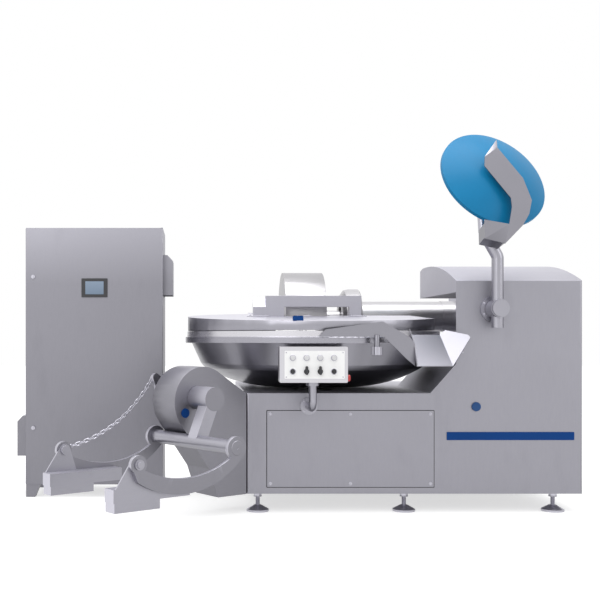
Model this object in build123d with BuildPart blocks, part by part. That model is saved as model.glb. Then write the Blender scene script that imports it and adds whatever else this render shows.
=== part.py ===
"""Meat bowl cutter of the 200-litre class, with trolley loader, ejector and electrical cabinet.

Millimetres, +Z up, +X to the operator's right, +Y away from the operator.
The origin lies on the floor under the middle of the whole machine.
"""
from build123d import *
import os
from math import acos, asin, atan2, cos, degrees, pi, radians, sin, sqrt

os.makedirs("parts", exist_ok=True)

# ---- Driving dimensions ------------------------------------------------------------------

# Machine body
base_left = -277.0          # left face of the base
base_front = -260.0         # front face of the base
base_width = 2086.0
base_depth = 1650.0
floor_gap = 116.0           # underside of the base above the floor
deck_height = 739.0
sheet = 6.0                 # wall of the body and of the covers' frames
housing_width = 784.0       # tall drive housing on the right
housing_depth = 950.0
roof_front_rise = 194.0     # roof above the knife shaft, at the front
roof_middle_rise = 302.0
roof_rear_rise = 332.0
plinth_height = 183.0       # sloped shoulder between deck and housing
plinth_run = 161.0
well_depth = 338.0          # recess of the housing that takes the bowl's edge
well_rise = 124.0           # well's ceiling above the knife shaft
drive_box_depth = 500.0     # low box behind the housing, over the belt drive
drive_box_rise = 178.0      # its top above the knife shaft
body_edge_radius = 14.0

# Front cover, stripe and marker
cover_width = 1034.0
cover_height = 473.0
cover_left = 129.0          # from the base's left face
cover_bottom = 158.0
cover_sheet = 3.0
cover_lap = 60.0            # cover's overlap on the wall around the service opening
screw_inset = 21.0
screw_radius = 4.0
screw_head_radius = 9.0
screw_head_height = 5.0
stripe_width = 790.0
stripe_height = 50.0
stripe_left = 1243.0        # from the base's left face
stripe_bottom = 449.0
stripe_thickness = 4.0
marker_radius = 28.0
marker_offset = 1425.0      # from the base's left face
marker_height = 656.0

# Levelling feet
foot_inset_x = 75.0
foot_inset_y = 60.0
foot_middle = 990.0         # middle foot, from the base's left face
foot_inset_right = 164.0
pad_radius = 70.0
pad_thickness = 13.0
pad_cone_height = 26.0
stem_radius = 13.5
nut_width = 44.0
nut_height = 22.0
stem_reach = 30.0           # stem inside the base

# Bowl
bowl_offset_x = 491.0       # bowl axis from the base's left face
bowl_offset_y = 700.0       # bowl axis from the base's front face
bowl_gap = 13.0             # bowl above the deck
bowl_skin = 8.0
ring_radius = 874.0
ring_drop = 77.0            # ring's underside below the rim
ring_thickness = 41.0
rim_radius = 862.0
rim_drop = 116.0            # rim below the knife shaft
trough_radius = 318.0       # section of the trough, about the knife shaft
trough_centre = 530.0       # knife shaft from the bowl's axis
shaft_rise = 503.0          # knife shaft above the deck
bottom_plate_radius = 272.0
knuckle_radius = 738.0
knuckle_rise = 128.0        # above the bowl's bottom
wall_foot_radius = 768.0
wall_foot_rise = 160.0
wall_top_radius = 831.0
bowl_shaft_radius = 60.0
bowl_shaft_drop = 179.0     # shaft's foot below the deck
bowl_flange_radius = 150.0
running_fit = 0.05          # radial clearance of every shaft in its bore
bearing_height = 60.0
bearing_outer_radius = 115.0
gearbox_size = 300.0
gearbox_height = 170.0
bowl_motor_radius = 75.0
bowl_motor_length = 240.0
touch_gap = 0.3             # gap between faces of moving bodies that seat on each other

# Knife drive
knife_tip_radius = 308.0
knife_hub_radius = 85.0
knife_thickness = 7.0
knife_pitch = 44.0
knife_pairs = 3
knife_shaft_radius = 45.0
spindle_radius = 112.0
spindle_head_radius = 205.0
spindle_head_left = 275.0   # from the bowl's axis
spindle_head_length = 138.0
spindle_wall = 14.0
pulley_width = 80.0
shaft_pulley_radius = 120.0
motor_pulley_radius = 150.0
belt_thickness = 12.0
motor_axis_height = 420.0
motor_radius = 190.0
motor_length = 560.0
motor_shaft_radius = 30.0

# Knife hood and noise lid
hood_radius = 326.0
hood_sheet = 4.0
hood_left = -159.0          # from the bowl's axis
hood_width = 293.0
hood_gap = 14.0             # hood's hem above the rim
hood_rear_rise = 76.0       # rear wall's hem above that, clear of the knives when it lifts
lid_radius = 857.0
lid_sheet = 6.0
lid_rim_gap = 4.0           # lid's hem above the rim
lid_skirt = 56.0            # skirt's height at the front
lid_cut = 746.0             # lid's straight right edge from the bowl's axis
lid_tilt = 2.88             # degrees, rising to the rear
lid_gap = 22.0              # lid's opening around the hood
lid_slot_front = 312.0      # front edge of the lid's spindle cut-out, behind the bowl's axis
hinge_offset_y = 1610.0     # rear hinge rod behind the base's front face
hinge_rise = 8.0            # above the knife shaft
hinge_rod_radius = 20.0
lug_width = 40.0
lug_radius = 42.0
post_width = 60.0
post_offsets = (-361.0, 179.0)

# Bridge frame on the lid and its grip
frame_front = 90.0          # frame's front face behind the bowl's axis
frame_depth = 60.0
frame_left = -312.0
frame_width = 673.0
frame_rise = 193.0          # frame's top above the skirt's top
beam_slope = 8.0            # fall of the cheek's top to the front
frame_beam_height = 78.0
frame_leg_left = 131.0
frame_leg_right = 85.0
cheek_width = 88.0
grip_width = 64.0
grip_height = 29.0

# Ejector
ejector_offset_x = 1530.0   # hub axis from the base's left face
ejector_rise = 20.0         # above the knife shaft
ejector_flange_radius = 80.0
ejector_flange = 18.0
ejector_pin_radius = 30.0
ejector_hub_radius = 56.0
ejector_hub_length = 126.0
ejector_cap_radius = 50.0
ejector_tube_radius = 36.0
ejector_stub = 118.0
disc_radius = 350.0
disc_rim = 22.0
disc_rise = 95.0
disc_skin = 5.0
disc_shaft_radius = 20.0
ejector_drive_radius = 85.0
ejector_drive_length = 160.0
drive_gap = 30.0            # drive's face behind the disc's rim plane
disc_turn = 16.7            # degrees, disc's axis to the right of the machine's depth
disc_lean = 28.9            # degrees, disc's axis above the horizontal
disc_offset_x = 11.0        # disc's centre from the hub's axis
disc_offset_y = 20.0
disc_above = 812.0
bracket_depth = 135.0
scraper_sheet = 6.0
scraper_lean = 15.3         # degrees, plate leaning back

# Trolley loader, in its own plane: u towards the bowl, w up, the swing axis at u = 0
loader_turn = 36.0          # degrees between the swing axis and the machine's depth
loader_offset_x = -303.6    # swing axis in the housing's face, from the base's left face
loader_offset_y = -231.0    # and from the base's front face
loader_axis_height = 726.0
loader_depth = 230.0
loader_round_radius = 208.0
loader_round_u = 44.0
loader_round_height = 702.0
loader_shaft_radius = 40.0
loader_boss_radius = 70.0
loader_boss_length = 175.0
lever_width = 78.0
lever_thickness = 85.0
pipe_radius = 40.0
pipe_u = -103.0
pipe_height = 481.0
pipe_rear = -311.0
pipe_front = 512.0
sickle_plate = 25.0
sickle_outer_radius = 540.0
sickle_inner_radius = 572.0
tip_reach = 634.0
tip_height = 439.0
tip_radius = 48.0
tip_bolt_radius = 17.0
carrier_sheet = 10.0
carrier_depth = 87.0
chain_t = -352.0            # plane of the chain, behind the loader's housing face
chain_sag = 106.0
link_pitch = 33.0
link_width = 25.0
link_wire = 7.0
link_play = 2.6             # free length between links that hang in each other

# Control box
panel_left = 185.0          # from the base's left face
panel_width = 406.0
panel_height = 214.0
panel_bottom = 816.0
panel_depth = 100.0
panel_gap = 150.0           # back of the box in front of the base
panel_sheet = 3.0
panel_border = 24.0
stand_radius = 24.0
stand_height = 660.0
stand_bend = 60.0
stand_flange_radius = 53.0
stand_flange = 10.0
button_columns = (78.0, 160.0, 241.0, 323.0)
button_row_top = 148.0
button_row_bottom = 67.0
button_radius = 14.0
button_stem_radius = 10.0
button_travel = 4.0
button_height = 10.0
lever_switch_height = 52.0
stop_radius = 20.0
stop_travel = 5.0

# Discharge chute
chute_sheet = 5.0
chute_pin_radius = 10.0
chute_offset_x = 1000.0     # left edge of the floor, from the base's left face
chute_pin_offset_x = 1317.0
chute_pin_gap = 26.0
chute_eye_drop = 90.0       # eye's foot below the ring's top
chute_eye_height = 80.0
wing_gap = 190.0
stud_radius = 17.0
stud_drop = 79.0
knob_radius = 31.0
knob_drop = 111.0
knob_height = 50.0

# Electrical cabinet
cabinet_left = -1468.0      # from the base's left face
cabinet_width = 931.0
cabinet_offset_y = 558.0
cabinet_depth = 500.0
cabinet_bottom = 85.0
cabinet_top = 1831.0
cabinet_sheet = 4.0
door_thickness = 16.0
door_gap = 2.0
door_pin_radius = 4.0
door_pin_inset = 6.0
screen_left = 380.0         # from the cabinet's left face
screen_bottom = 1358.0
screen_width = 176.0
screen_height = 128.0
screen_depth = 6.0
lock_inset = 52.0
lock_heights = (472.0, 1497.0)
lock_radius = 13.0

# ---- Derived places ----------------------------------------------------------------------

base_right = base_left + base_width
base_rear = base_front + base_depth
housing_left = base_right - housing_width
well_right = housing_left + well_depth
bowl_x = base_left + bowl_offset_x
bowl_y = base_front + bowl_offset_y
knife_y = bowl_y + trough_centre
hinge_y = base_front + hinge_offset_y
shaft_height = deck_height + shaft_rise
rim_height = shaft_height - rim_drop
ring_bottom = rim_height - ring_drop
ring_top = ring_bottom + ring_thickness
bowl_bottom = deck_height + bowl_gap
knuckle_height = bowl_bottom + knuckle_rise
wall_foot_height = bowl_bottom + wall_foot_rise
bowl_shaft_foot = deck_height - bowl_shaft_drop
roof_front_height = shaft_height + roof_front_rise
roof_middle_height = shaft_height + roof_middle_rise
roof_rear_height = shaft_height + roof_rear_rise
well_ceiling = shaft_height + well_rise
drive_box_top = shaft_height + drive_box_rise
hinge_height = shaft_height + hinge_rise
hood_hem = rim_height + hood_gap
lid_hem = rim_height + lid_rim_gap
lid_front_height = lid_hem + lid_skirt
frame_top = lid_front_height + frame_rise
ejector_height = shaft_height + ejector_rise
chute_eye_bottom = ring_top - chute_eye_drop
stud_foot = ring_top - stud_drop
knob_bottom = ring_top - knob_drop
wall = sheet
panel_x0 = base_left + panel_left
stand_x = panel_x0 + panel_width / 2


def front_plane(y):
    """Sketch plane across the machine at depth y: local x right, local y up, normal to the operator."""
    return Plane(origin=(0, y, 0), x_dir=(1, 0, 0), z_dir=(0, -1, 0))


def side_plane(x):
    """Sketch plane along the machine's depth at x: local x away from the operator, local y up."""
    return Plane(origin=(x, 0, 0), x_dir=(0, 1, 0), z_dir=(1, 0, 0))


def block(x0, x1, y0, y1, z0, z1):
    """A box between two corners, outside any part."""
    with BuildPart() as solid:
        with Locations(((x0 + x1) / 2, (y0 + y1) / 2, (z0 + z1) / 2)):
            Box(abs(x1 - x0), abs(y1 - y0), abs(z1 - z0))
    return solid.part


def tangent_point(centre, radius, outside, side):
    """Where the line from a point outside touches a circle; side picks the left or right tangent."""
    dx = outside[0] - centre[0]
    dy = outside[1] - centre[1]
    turn = atan2(dy, dx) + side * acos(radius / sqrt(dx * dx + dy * dy))
    return (centre[0] + radius * cos(turn), centre[1] + radius * sin(turn))


def circle_under(centre, radius, x):
    """Height of a circle's lower half at x."""
    return centre[1] - sqrt(radius * radius - (x - centre[0]) ** 2)


# ---- Machine body ------------------------------------------------------------------------

housing_rear = base_front + housing_depth
drive_box_rear = housing_rear + drive_box_depth
roof_mid_y = base_front + 0.42 * housing_depth
roof_fall_y = base_front + 0.93 * housing_depth
foot_places = [
    (x, y)
    for x in (base_left + foot_inset_x, base_left + foot_middle, base_right - foot_inset_right)
    for y in (base_front + foot_inset_y, base_rear - foot_inset_y)
]


def roof_section(inset, floor):
    """Side outline of the tall housing, drawn in by a wall on each side."""
    with BuildLine() as outline:
        arc = ThreePointArc(
            (base_front + inset, roof_front_height - inset),
            (roof_mid_y, roof_middle_height - inset),
            (roof_fall_y, roof_rear_height - inset),
        )
        Polyline(
            arc @ 1,
            (housing_rear - inset, roof_rear_height - inset - 16),
            (housing_rear - inset, floor),
            (base_front + inset, floor),
            arc @ 0,
        )
    return outline.line


with BuildPart() as machine_body:
    with BuildSketch(Plane.XY.offset(floor_gap)):
        with Locations(((base_left + base_right) / 2, (base_front + base_rear) / 2)):
            Rectangle(base_width, base_depth)
    extrude(amount=deck_height - floor_gap)
    with BuildSketch(side_plane(housing_left)):
        add(roof_section(0, deck_height))
        make_face()
    extrude(amount=housing_width)
    with BuildSketch(front_plane(housing_rear)):
        Polygon(
            (housing_left - plinth_run, deck_height),
            (housing_left, deck_height),
            (housing_left, deck_height + plinth_height),
            align=None,
        )
    extrude(amount=housing_depth)
    add(block(well_right, base_right, housing_rear, drive_box_rear, deck_height, drive_box_top))
    front_corners = machine_body.edges().filter_by(Axis.Z).group_by(Axis.Y)[0].group_by(Axis.X)
    fillet(front_corners[0] + front_corners[-1], radius=body_edge_radius)
    # The well for the bowl's edge and the spindle
    add(
        block(
            housing_left - 1, well_right, base_front + wall, housing_rear + 1,
            deck_height + plinth_height, well_ceiling,
        ),
        mode=Mode.SUBTRACT,
    )
    # Hollow of the base, of the drive side and of the roof
    add(
        block(
            base_left + wall, base_right - wall, base_front + wall, base_rear - wall,
            floor_gap + wall, deck_height - wall,
        ),
        mode=Mode.SUBTRACT,
    )
    add(
        block(
            well_right + wall, base_right - wall, base_front + wall, drive_box_rear - wall,
            deck_height - 2 * wall, drive_box_top - wall,
        ),
        mode=Mode.SUBTRACT,
    )
    with BuildSketch(side_plane(housing_left + wall)):
        add(roof_section(wall, well_ceiling + wall))
        make_face()
    extrude(amount=housing_width - 2 * wall, mode=Mode.SUBTRACT)
    # Service opening behind the front cover
    add(
        block(
            base_left + cover_left + cover_lap, base_left + cover_left + cover_width - cover_lap,
            base_front - 1, base_front + wall + 1,
            cover_bottom + cover_lap, cover_bottom + cover_height - cover_lap,
        ),
        mode=Mode.SUBTRACT,
    )
    # Passages of the bowl shaft and of the spindle
    with BuildSketch(Plane.XY.offset(deck_height + 1)):
        with Locations((bowl_x, bowl_y)):
            Circle(bowl_shaft_radius + 12)
    extrude(amount=-(wall + 2), mode=Mode.SUBTRACT)
    with BuildSketch(side_plane(well_right - 1)):
        with Locations((knife_y, shaft_height)):
            Circle(spindle_radius)
    extrude(amount=wall + 2, mode=Mode.SUBTRACT)

    # Holes of the levelling feet's stems
    with BuildSketch(Plane.XY.offset(floor_gap - 1)):
        with Locations(*foot_places):
            Circle(stem_radius)
    extrude(amount=wall + 2, mode=Mode.SUBTRACT)

machine_body.part.label = "machine_body"
export_step(machine_body.part, "parts/machine_body.step")

# ---- Front cover, its screws, stripe and marker ------------------------------------------

cover_x = base_left + cover_left + cover_width / 2
cover_z = cover_bottom + cover_height / 2
screw_places = [
    (cover_x + i * (cover_width / 2 - screw_inset), cover_z + k * (cover_height / 2 - screw_inset))
    for i in (-1, 0, 1)
    for k in (-1, 1)
]

with BuildPart() as front_cover:
    with BuildSketch(front_plane(base_front)):
        with Locations((cover_x, cover_z)):
            RectangleRounded(cover_width, cover_height, 6)
        with Locations(*screw_places):
            Circle(screw_radius + 0.5, mode=Mode.SUBTRACT)
        with Locations((stand_x, stand_height)):
            Circle(stand_flange_radius + 1, mode=Mode.SUBTRACT)
    extrude(amount=cover_sheet)

front_cover.part.label = "front_cover"
export_step(front_cover.part, "parts/front_cover.step")

with BuildPart() as cover_screws:
    with BuildSketch(front_plane(base_front - cover_sheet)):
        with Locations(*screw_places):
            Circle(screw_head_radius)
    extrude(amount=screw_head_height)
    chamfer(cover_screws.faces().filter_by(Axis.Y).sort_by(Axis.Y)[: len(screw_places)].edges(), 2)
    with BuildSketch(front_plane(base_front)):
        with Locations(*screw_places):
            Circle(screw_radius)
    extrude(amount=cover_sheet)

cover_screws.part.label = "cover_screws"
export_step(cover_screws.part, "parts/cover_screws.step")

# ---- Levelling feet ----------------------------------------------------------------------

pad_height = pad_thickness + pad_cone_height

with BuildPart() as foot_pads:
    for place in foot_places:
        with BuildSketch(Plane(origin=(place[0], place[1], 0), x_dir=(1, 0, 0), z_dir=(0, -1, 0))):
            Polygon(
                (0, 0),
                (pad_radius, 0),
                (pad_radius, pad_thickness),
                (stem_radius + 9, pad_height),
                (0, pad_height),
                align=None,
            )
        revolve(axis=Axis((place[0], place[1], 0), (0, 0, 1)))

foot_pads.part.label = "foot_pads"
export_step(foot_pads.part, "parts/foot_pads.step")

with BuildPart() as foot_stems:
    with BuildSketch(Plane.XY.offset(pad_height)):
        with Locations(*foot_places):
            Circle(stem_radius)
    extrude(amount=floor_gap + stem_reach - pad_height)
    with BuildSketch(Plane.XY.offset(floor_gap - nut_height)):
        with Locations(*foot_places):
            RegularPolygon(nut_width / 2, 6, major_radius=False)
    extrude(amount=nut_height)

foot_stems.part.label = "foot_stems"
export_step(foot_stems.part, "parts/foot_stems.step")

# ---- Bowl --------------------------------------------------------------------------------

bowl_axis = Axis((bowl_x, bowl_y, 0), (0, 0, 1))
bowl_section = Plane(origin=(bowl_x, bowl_y, 0), x_dir=(1, 0, 0), z_dir=(0, -1, 0))
trough_mid = (trough_centre, shaft_height)


def trough_half_width(radius, height):
    """Half the width of the trough's circle at a height."""
    return sqrt(radius * radius - (shaft_height - height) ** 2)


rim_inner = trough_centre + trough_half_width(trough_radius, rim_height)
hub_radius = trough_centre - trough_half_width(trough_radius, rim_height)
skin_radius = trough_radius + bowl_skin
skin_top = rim_height - bowl_skin
skin_outer = trough_centre + trough_half_width(skin_radius, skin_top)
skin_hub = trough_centre - trough_half_width(skin_radius, skin_top)

with BuildPart() as bowl_trough:
    with BuildSketch(bowl_section):
        with BuildLine():
            Polyline((0, skin_top), (0, rim_height), (hub_radius, rim_height))
            ThreePointArc(
                (hub_radius, rim_height),
                (trough_centre, shaft_height - trough_radius),
                (rim_inner, rim_height),
            )
            Polyline(
                (rim_inner, rim_height),
                (rim_radius, rim_height),
                (rim_radius, ring_top),
                (skin_outer, ring_top),
                (skin_outer, skin_top),
            )
            ThreePointArc(
                (skin_outer, skin_top),
                (trough_centre, shaft_height - skin_radius),
                (skin_hub, skin_top),
            )
            Line((skin_hub, skin_top), (0, skin_top))
        make_face()
    revolve(axis=bowl_axis)

bowl_trough.part.label = "bowl_trough"
export_step(bowl_trough.part, "parts/bowl_trough.step")

with BuildPart() as bowl_ring:
    with BuildSketch(Plane.XY.offset(ring_bottom)):
        with Locations((bowl_x, bowl_y)):
            Circle(ring_radius)
            Circle(wall_top_radius - bowl_skin, mode=Mode.SUBTRACT)
    extrude(amount=ring_thickness)
    fillet(bowl_ring.edges().filter_by(GeomType.CIRCLE).filter_by(lambda e: e.radius > rim_radius), 4)

bowl_ring.part.label = "bowl_ring"
export_step(bowl_ring.part, "parts/bowl_ring.step")


def bowl_outline(inset):
    """Outer skin of the bowl from the bottom plate to the ring, moved in by a thickness."""
    knuckle = inset * sin(radians(40))
    with BuildLine() as outline:
        Line((0, bowl_bottom + inset), (bottom_plate_radius, bowl_bottom + inset))
        ThreePointArc(
            (bottom_plate_radius, bowl_bottom + inset),
            (0.77 * knuckle_radius, bowl_bottom + 0.38 * (knuckle_height - bowl_bottom) + inset),
            (knuckle_radius - knuckle, knuckle_height + knuckle),
        )
        TangentArc(
            (knuckle_radius - knuckle, knuckle_height + knuckle),
            (wall_foot_radius - inset, wall_foot_height + knuckle / 2),
            tangent=(1, 0.85),
        )
        Line(
            (wall_foot_radius - inset, wall_foot_height + knuckle / 2),
            (wall_top_radius - inset, ring_bottom),
        )
    return outline.line


with BuildPart() as bowl_shell:
    with BuildSketch(bowl_section):
        with BuildLine():
            add(bowl_outline(0))
            Line((wall_top_radius, ring_bottom), (0, ring_bottom))
            Line((0, ring_bottom), (0, bowl_bottom))
        make_face()
    revolve(axis=bowl_axis)
    with BuildSketch(bowl_section):
        with BuildLine():
            add(bowl_outline(bowl_skin))
            Line((wall_top_radius - bowl_skin, ring_bottom), (0, ring_bottom))
            Line((0, ring_bottom), (0, bowl_bottom + bowl_skin))
        make_face()
    revolve(axis=bowl_axis, mode=Mode.SUBTRACT)

bowl_shell.part.label = "bowl_shell"
export_step(bowl_shell.part, "parts/bowl_shell.step")

with BuildPart() as bowl_shaft:
    with BuildSketch(Plane.XY.offset(bowl_shaft_foot)):
        with Locations((bowl_x, bowl_y)):
            Circle(bowl_shaft_radius)
    extrude(amount=bowl_bottom - bowl_shaft_foot)
    with BuildSketch(Plane.XY.offset(bowl_bottom)):
        with Locations((bowl_x, bowl_y)):
            Circle(bowl_flange_radius)
    extrude(amount=-(bowl_bottom - deck_height - 4))

bowl_shaft.part.label = "bowl_shaft"
export_step(bowl_shaft.part, "parts/bowl_shaft.step")

with BuildPart() as bowl_bearing:
    with BuildSketch(Plane.XY.offset(deck_height - sheet)):
        with Locations((bowl_x, bowl_y)):
            Circle(bearing_outer_radius)
            Circle(bowl_shaft_radius + running_fit, mode=Mode.SUBTRACT)
    extrude(amount=-bearing_height)

bowl_bearing.part.label = "bowl_bearing"
export_step(bowl_bearing.part, "parts/bowl_bearing.step")

gearbox_base = floor_gap + sheet

with BuildPart() as bowl_gearmotor:
    gearbox_top = bowl_shaft_foot - touch_gap
    add(
        block(
            bowl_x - gearbox_size / 2, bowl_x + gearbox_size / 2,
            bowl_y - gearbox_size / 2, bowl_y + gearbox_size / 2,
            gearbox_top - gearbox_height, gearbox_top,
        )
    )
    with BuildSketch(Plane.XY.offset(gearbox_base)):
        with Locations((bowl_x, bowl_y)):
            Rectangle(0.7 * gearbox_size, 0.7 * gearbox_size)
    extrude(amount=gearbox_top - gearbox_height - gearbox_base)
    with BuildSketch(side_plane(bowl_x - gearbox_size / 2)):
        with Locations((bowl_y, gearbox_top - gearbox_height / 2)):
            Circle(bowl_motor_radius)
    extrude(amount=-bowl_motor_length)

bowl_gearmotor.part.label = "bowl_gearmotor"
export_step(bowl_gearmotor.part, "parts/bowl_gearmotor.step")

# ---- Knife shaft and knives --------------------------------------------------------------

knife_axis = Axis((0, knife_y, shaft_height), (1, 0, 0))
knife_stack = knife_pairs * knife_pitch
knives_left = bowl_x - knife_stack / 2
head_left = bowl_x + spindle_head_left
head_right = head_left + spindle_head_length
spindle_right = well_right + 40
pulley_left = spindle_right + 60
pulley_right = pulley_left + pulley_width
shaft_nose = knives_left - 40


def rod(radius, x0, x1, y, z):
    """A round bar along X, outside any part."""
    with BuildPart() as bar:
        with BuildSketch(side_plane(x0)):
            with Locations((y, z)):
                Circle(radius)
        extrude(amount=x1 - x0)
    return bar.part


with BuildPart() as knife_shaft:
    add(rod(knife_shaft_radius, shaft_nose, pulley_right + 10, knife_y, shaft_height))
    add(rod(knife_hub_radius - 15, knives_left + knife_stack, knives_left + knife_stack + 30,
            knife_y, shaft_height))

knife_shaft.part.label = "knife_shaft"
export_step(knife_shaft.part, "parts/knife_shaft.step")


def knife_pair(x, turn):
    """Two sickle blades on one hub plate, turned about the shaft."""
    with BuildPart() as pair:
        with BuildSketch(Plane(origin=(x, knife_y, shaft_height), x_dir=(0, 1, 0), z_dir=(1, 0, 0))):
            Circle(knife_hub_radius)
            for side in (0, 180):
                with BuildLine(Plane.XY.rotated((0, 0, turn + side))):
                    cutting_edge = ThreePointArc(
                        (20, 0.9 * knife_hub_radius),
                        (0.70 * knife_tip_radius, 0.52 * knife_tip_radius),
                        (0.985 * knife_tip_radius, -0.15 * knife_tip_radius),
                    )
                    back = ThreePointArc(
                        cutting_edge @ 1,
                        (0.68 * knife_tip_radius, 0.10 * knife_tip_radius),
                        (20, -0.9 * knife_hub_radius),
                    )
                    Line(back @ 1, cutting_edge @ 0)
                make_face()
            Circle(knife_tip_radius, mode=Mode.INTERSECT)
            Circle(knife_shaft_radius, mode=Mode.SUBTRACT)
        extrude(amount=knife_thickness)
    return pair.part


with BuildPart() as knife_blades:
    for count in range(knife_pairs):
        add(knife_pair(knives_left + count * knife_pitch + 8, count * 180 / knife_pairs))

knife_blades.part.label = "knife_blades"
export_step(knife_blades.part, "parts/knife_blades.step")

with BuildPart() as knife_spacers:
    for count in range(knife_pairs):
        gap_left = knives_left + count * knife_pitch + 8 + knife_thickness
        add(rod(knife_hub_radius - 10, gap_left, gap_left + knife_pitch - knife_thickness - 1,
                knife_y, shaft_height))
    add(rod(knife_hub_radius - 5, knives_left - 22, knives_left + 7, knife_y, shaft_height))
    add(rod(knife_shaft_radius, shaft_nose, knives_left + knife_stack + 1, knife_y, shaft_height),
        mode=Mode.SUBTRACT)
    add(rod(knife_hub_radius, knives_left + knife_stack, knives_left + knife_stack + 40,
            knife_y, shaft_height), mode=Mode.SUBTRACT)

knife_spacers.part.label = "knife_spacers"
export_step(knife_spacers.part, "parts/knife_spacers.step")

with BuildPart() as spindle_housing:
    with BuildSketch(Plane(origin=(0, knife_y, shaft_height), x_dir=(1, 0, 0), z_dir=(0, -1, 0))):
        Polygon(
            (head_left, spindle_radius - 30),
            (head_left, spindle_head_radius - 45),
            (head_left + 25, spindle_head_radius - 8),
            (head_left + 60, spindle_head_radius),
            (head_right - 10, spindle_head_radius),
            (head_right, spindle_head_radius - 10),
            (head_right, spindle_radius),
            (spindle_right, spindle_radius),
            (spindle_right, spindle_radius - 30),
            align=None,
        )
    revolve(axis=knife_axis)
    # Collar where the tube enters the drive housing
    add(rod(spindle_radius + 3, well_right - 126, well_right - touch_gap, knife_y, shaft_height))
    add(rod(spindle_radius - 30, head_left - 1, spindle_right + 1, knife_y, shaft_height),
        mode=Mode.SUBTRACT)

spindle_housing.part.label = "spindle_housing"
export_step(spindle_housing.part, "parts/spindle_housing.step")

spindle_bearing_width = 60.0

with BuildPart() as spindle_bearings:
    for bearing_left in (head_left + 20, spindle_right - spindle_bearing_width - 20):
        add(rod(spindle_radius - 30, bearing_left, bearing_left + spindle_bearing_width,
                knife_y, shaft_height))
    add(rod(knife_shaft_radius + running_fit, head_left, spindle_right, knife_y, shaft_height),
        mode=Mode.SUBTRACT)

spindle_bearings.part.label = "spindle_bearings"
export_step(spindle_bearings.part, "parts/spindle_bearings.step")

# ---- Belt drive --------------------------------------------------------------------------

with BuildPart() as shaft_pulley:
    add(rod(shaft_pulley_radius, pulley_left, pulley_right, knife_y, shaft_height))
    add(rod(knife_shaft_radius, pulley_left, pulley_right, knife_y, shaft_height), mode=Mode.SUBTRACT)

shaft_pulley.part.label = "shaft_pulley"
export_step(shaft_pulley.part, "parts/shaft_pulley.step")

motor_right = pulley_left - 50
with BuildPart() as main_motor:
    add(rod(motor_radius, motor_right - motor_length, motor_right, knife_y, motor_axis_height))
    add(rod(motor_radius - 40, motor_right, motor_right + 24, knife_y, motor_axis_height))
    add(
        block(
            motor_right - motor_length + 60, motor_right - 60,
            knife_y - 0.8 * motor_radius, knife_y + 0.8 * motor_radius,
            floor_gap + sheet, motor_axis_height - 0.5 * motor_radius,
        )
    )
    add(rod(motor_shaft_radius + running_fit, motor_right - 120, motor_right + 25, knife_y,
            motor_axis_height), mode=Mode.SUBTRACT)

main_motor.part.label = "main_motor"
export_step(main_motor.part, "parts/main_motor.step")

with BuildPart() as motor_pulley:
    add(rod(motor_pulley_radius, pulley_left, pulley_right, knife_y, motor_axis_height))
    add(rod(motor_shaft_radius, motor_right - 119, pulley_right + 10, knife_y, motor_axis_height))

motor_pulley.part.label = "motor_pulley"
export_step(motor_pulley.part, "parts/motor_pulley.step")


def belt_loop(thickness, x0, x1):
    """Outline of the belt around both pulleys, given thickness outside the pulleys' faces."""
    with BuildPart() as loop:
        with BuildSketch(side_plane(x0)):
            with Locations((knife_y, shaft_height)):
                Circle(shaft_pulley_radius + thickness)
            with Locations((knife_y, motor_axis_height)):
                Circle(motor_pulley_radius + thickness)
            make_hull()
        extrude(amount=x1 - x0)
    return loop.part


with BuildPart() as drive_belt:
    add(belt_loop(touch_gap + belt_thickness, pulley_left + 5, pulley_right - 5))
    add(belt_loop(touch_gap, pulley_left, pulley_right), mode=Mode.SUBTRACT)

drive_belt.part.label = "drive_belt"
export_step(drive_belt.part, "parts/drive_belt.step")

# ---- Rear hinge of the knife hood and the lid --------------------------------------------

hinge_axis = Axis((0, hinge_y, hinge_height), (1, 0, 0))
rod_left = bowl_x + post_offsets[0] - post_width / 2 - 15
rod_right = bowl_x + post_offsets[1] + post_width / 2 + 15

with BuildPart() as hinge_posts:
    for post_offset in post_offsets:
        add(
            block(
                bowl_x + post_offset - post_width / 2, bowl_x + post_offset + post_width / 2,
                hinge_y - post_width / 2, hinge_y + post_width / 2,
                deck_height, hinge_height + post_width / 2,
            )
        )
    fillet(hinge_posts.edges().filter_by(Axis.X).group_by(Axis.Z)[-1], post_width / 2 - 4)
    add(rod(hinge_rod_radius, rod_left, rod_right, hinge_y, hinge_height))

hinge_posts.part.label = "hinge_posts"
export_step(hinge_posts.part, "parts/hinge_posts.step")

# ---- Knife hood --------------------------------------------------------------------------

hood_x0 = bowl_x + hood_left
hood_x1 = hood_x0 + hood_width


def hood_section(radius, hem):
    """Round-topped outline of the hood about the knife shaft."""
    with BuildLine() as outline:
        Polyline(
            (knife_y + radius, shaft_height), (knife_y + radius, hem),
            (knife_y - radius, hem), (knife_y - radius, shaft_height),
        )
        ThreePointArc(
            (knife_y - radius, shaft_height), (knife_y, shaft_height + radius),
            (knife_y + radius, shaft_height),
        )
    return outline.line


def hinge_lug(x0, reach_y, reach_z):
    """Hinge lug on the rear rod with an arm to a point in front of it."""
    with BuildPart() as lug:
        with BuildSketch(side_plane(x0)):
            with Locations((hinge_y, hinge_height)):
                Circle(lug_radius)
            with Locations((reach_y, reach_z)):
                Rectangle(8, 50)
            make_hull()
        extrude(amount=lug_width)
    return lug.part


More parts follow.
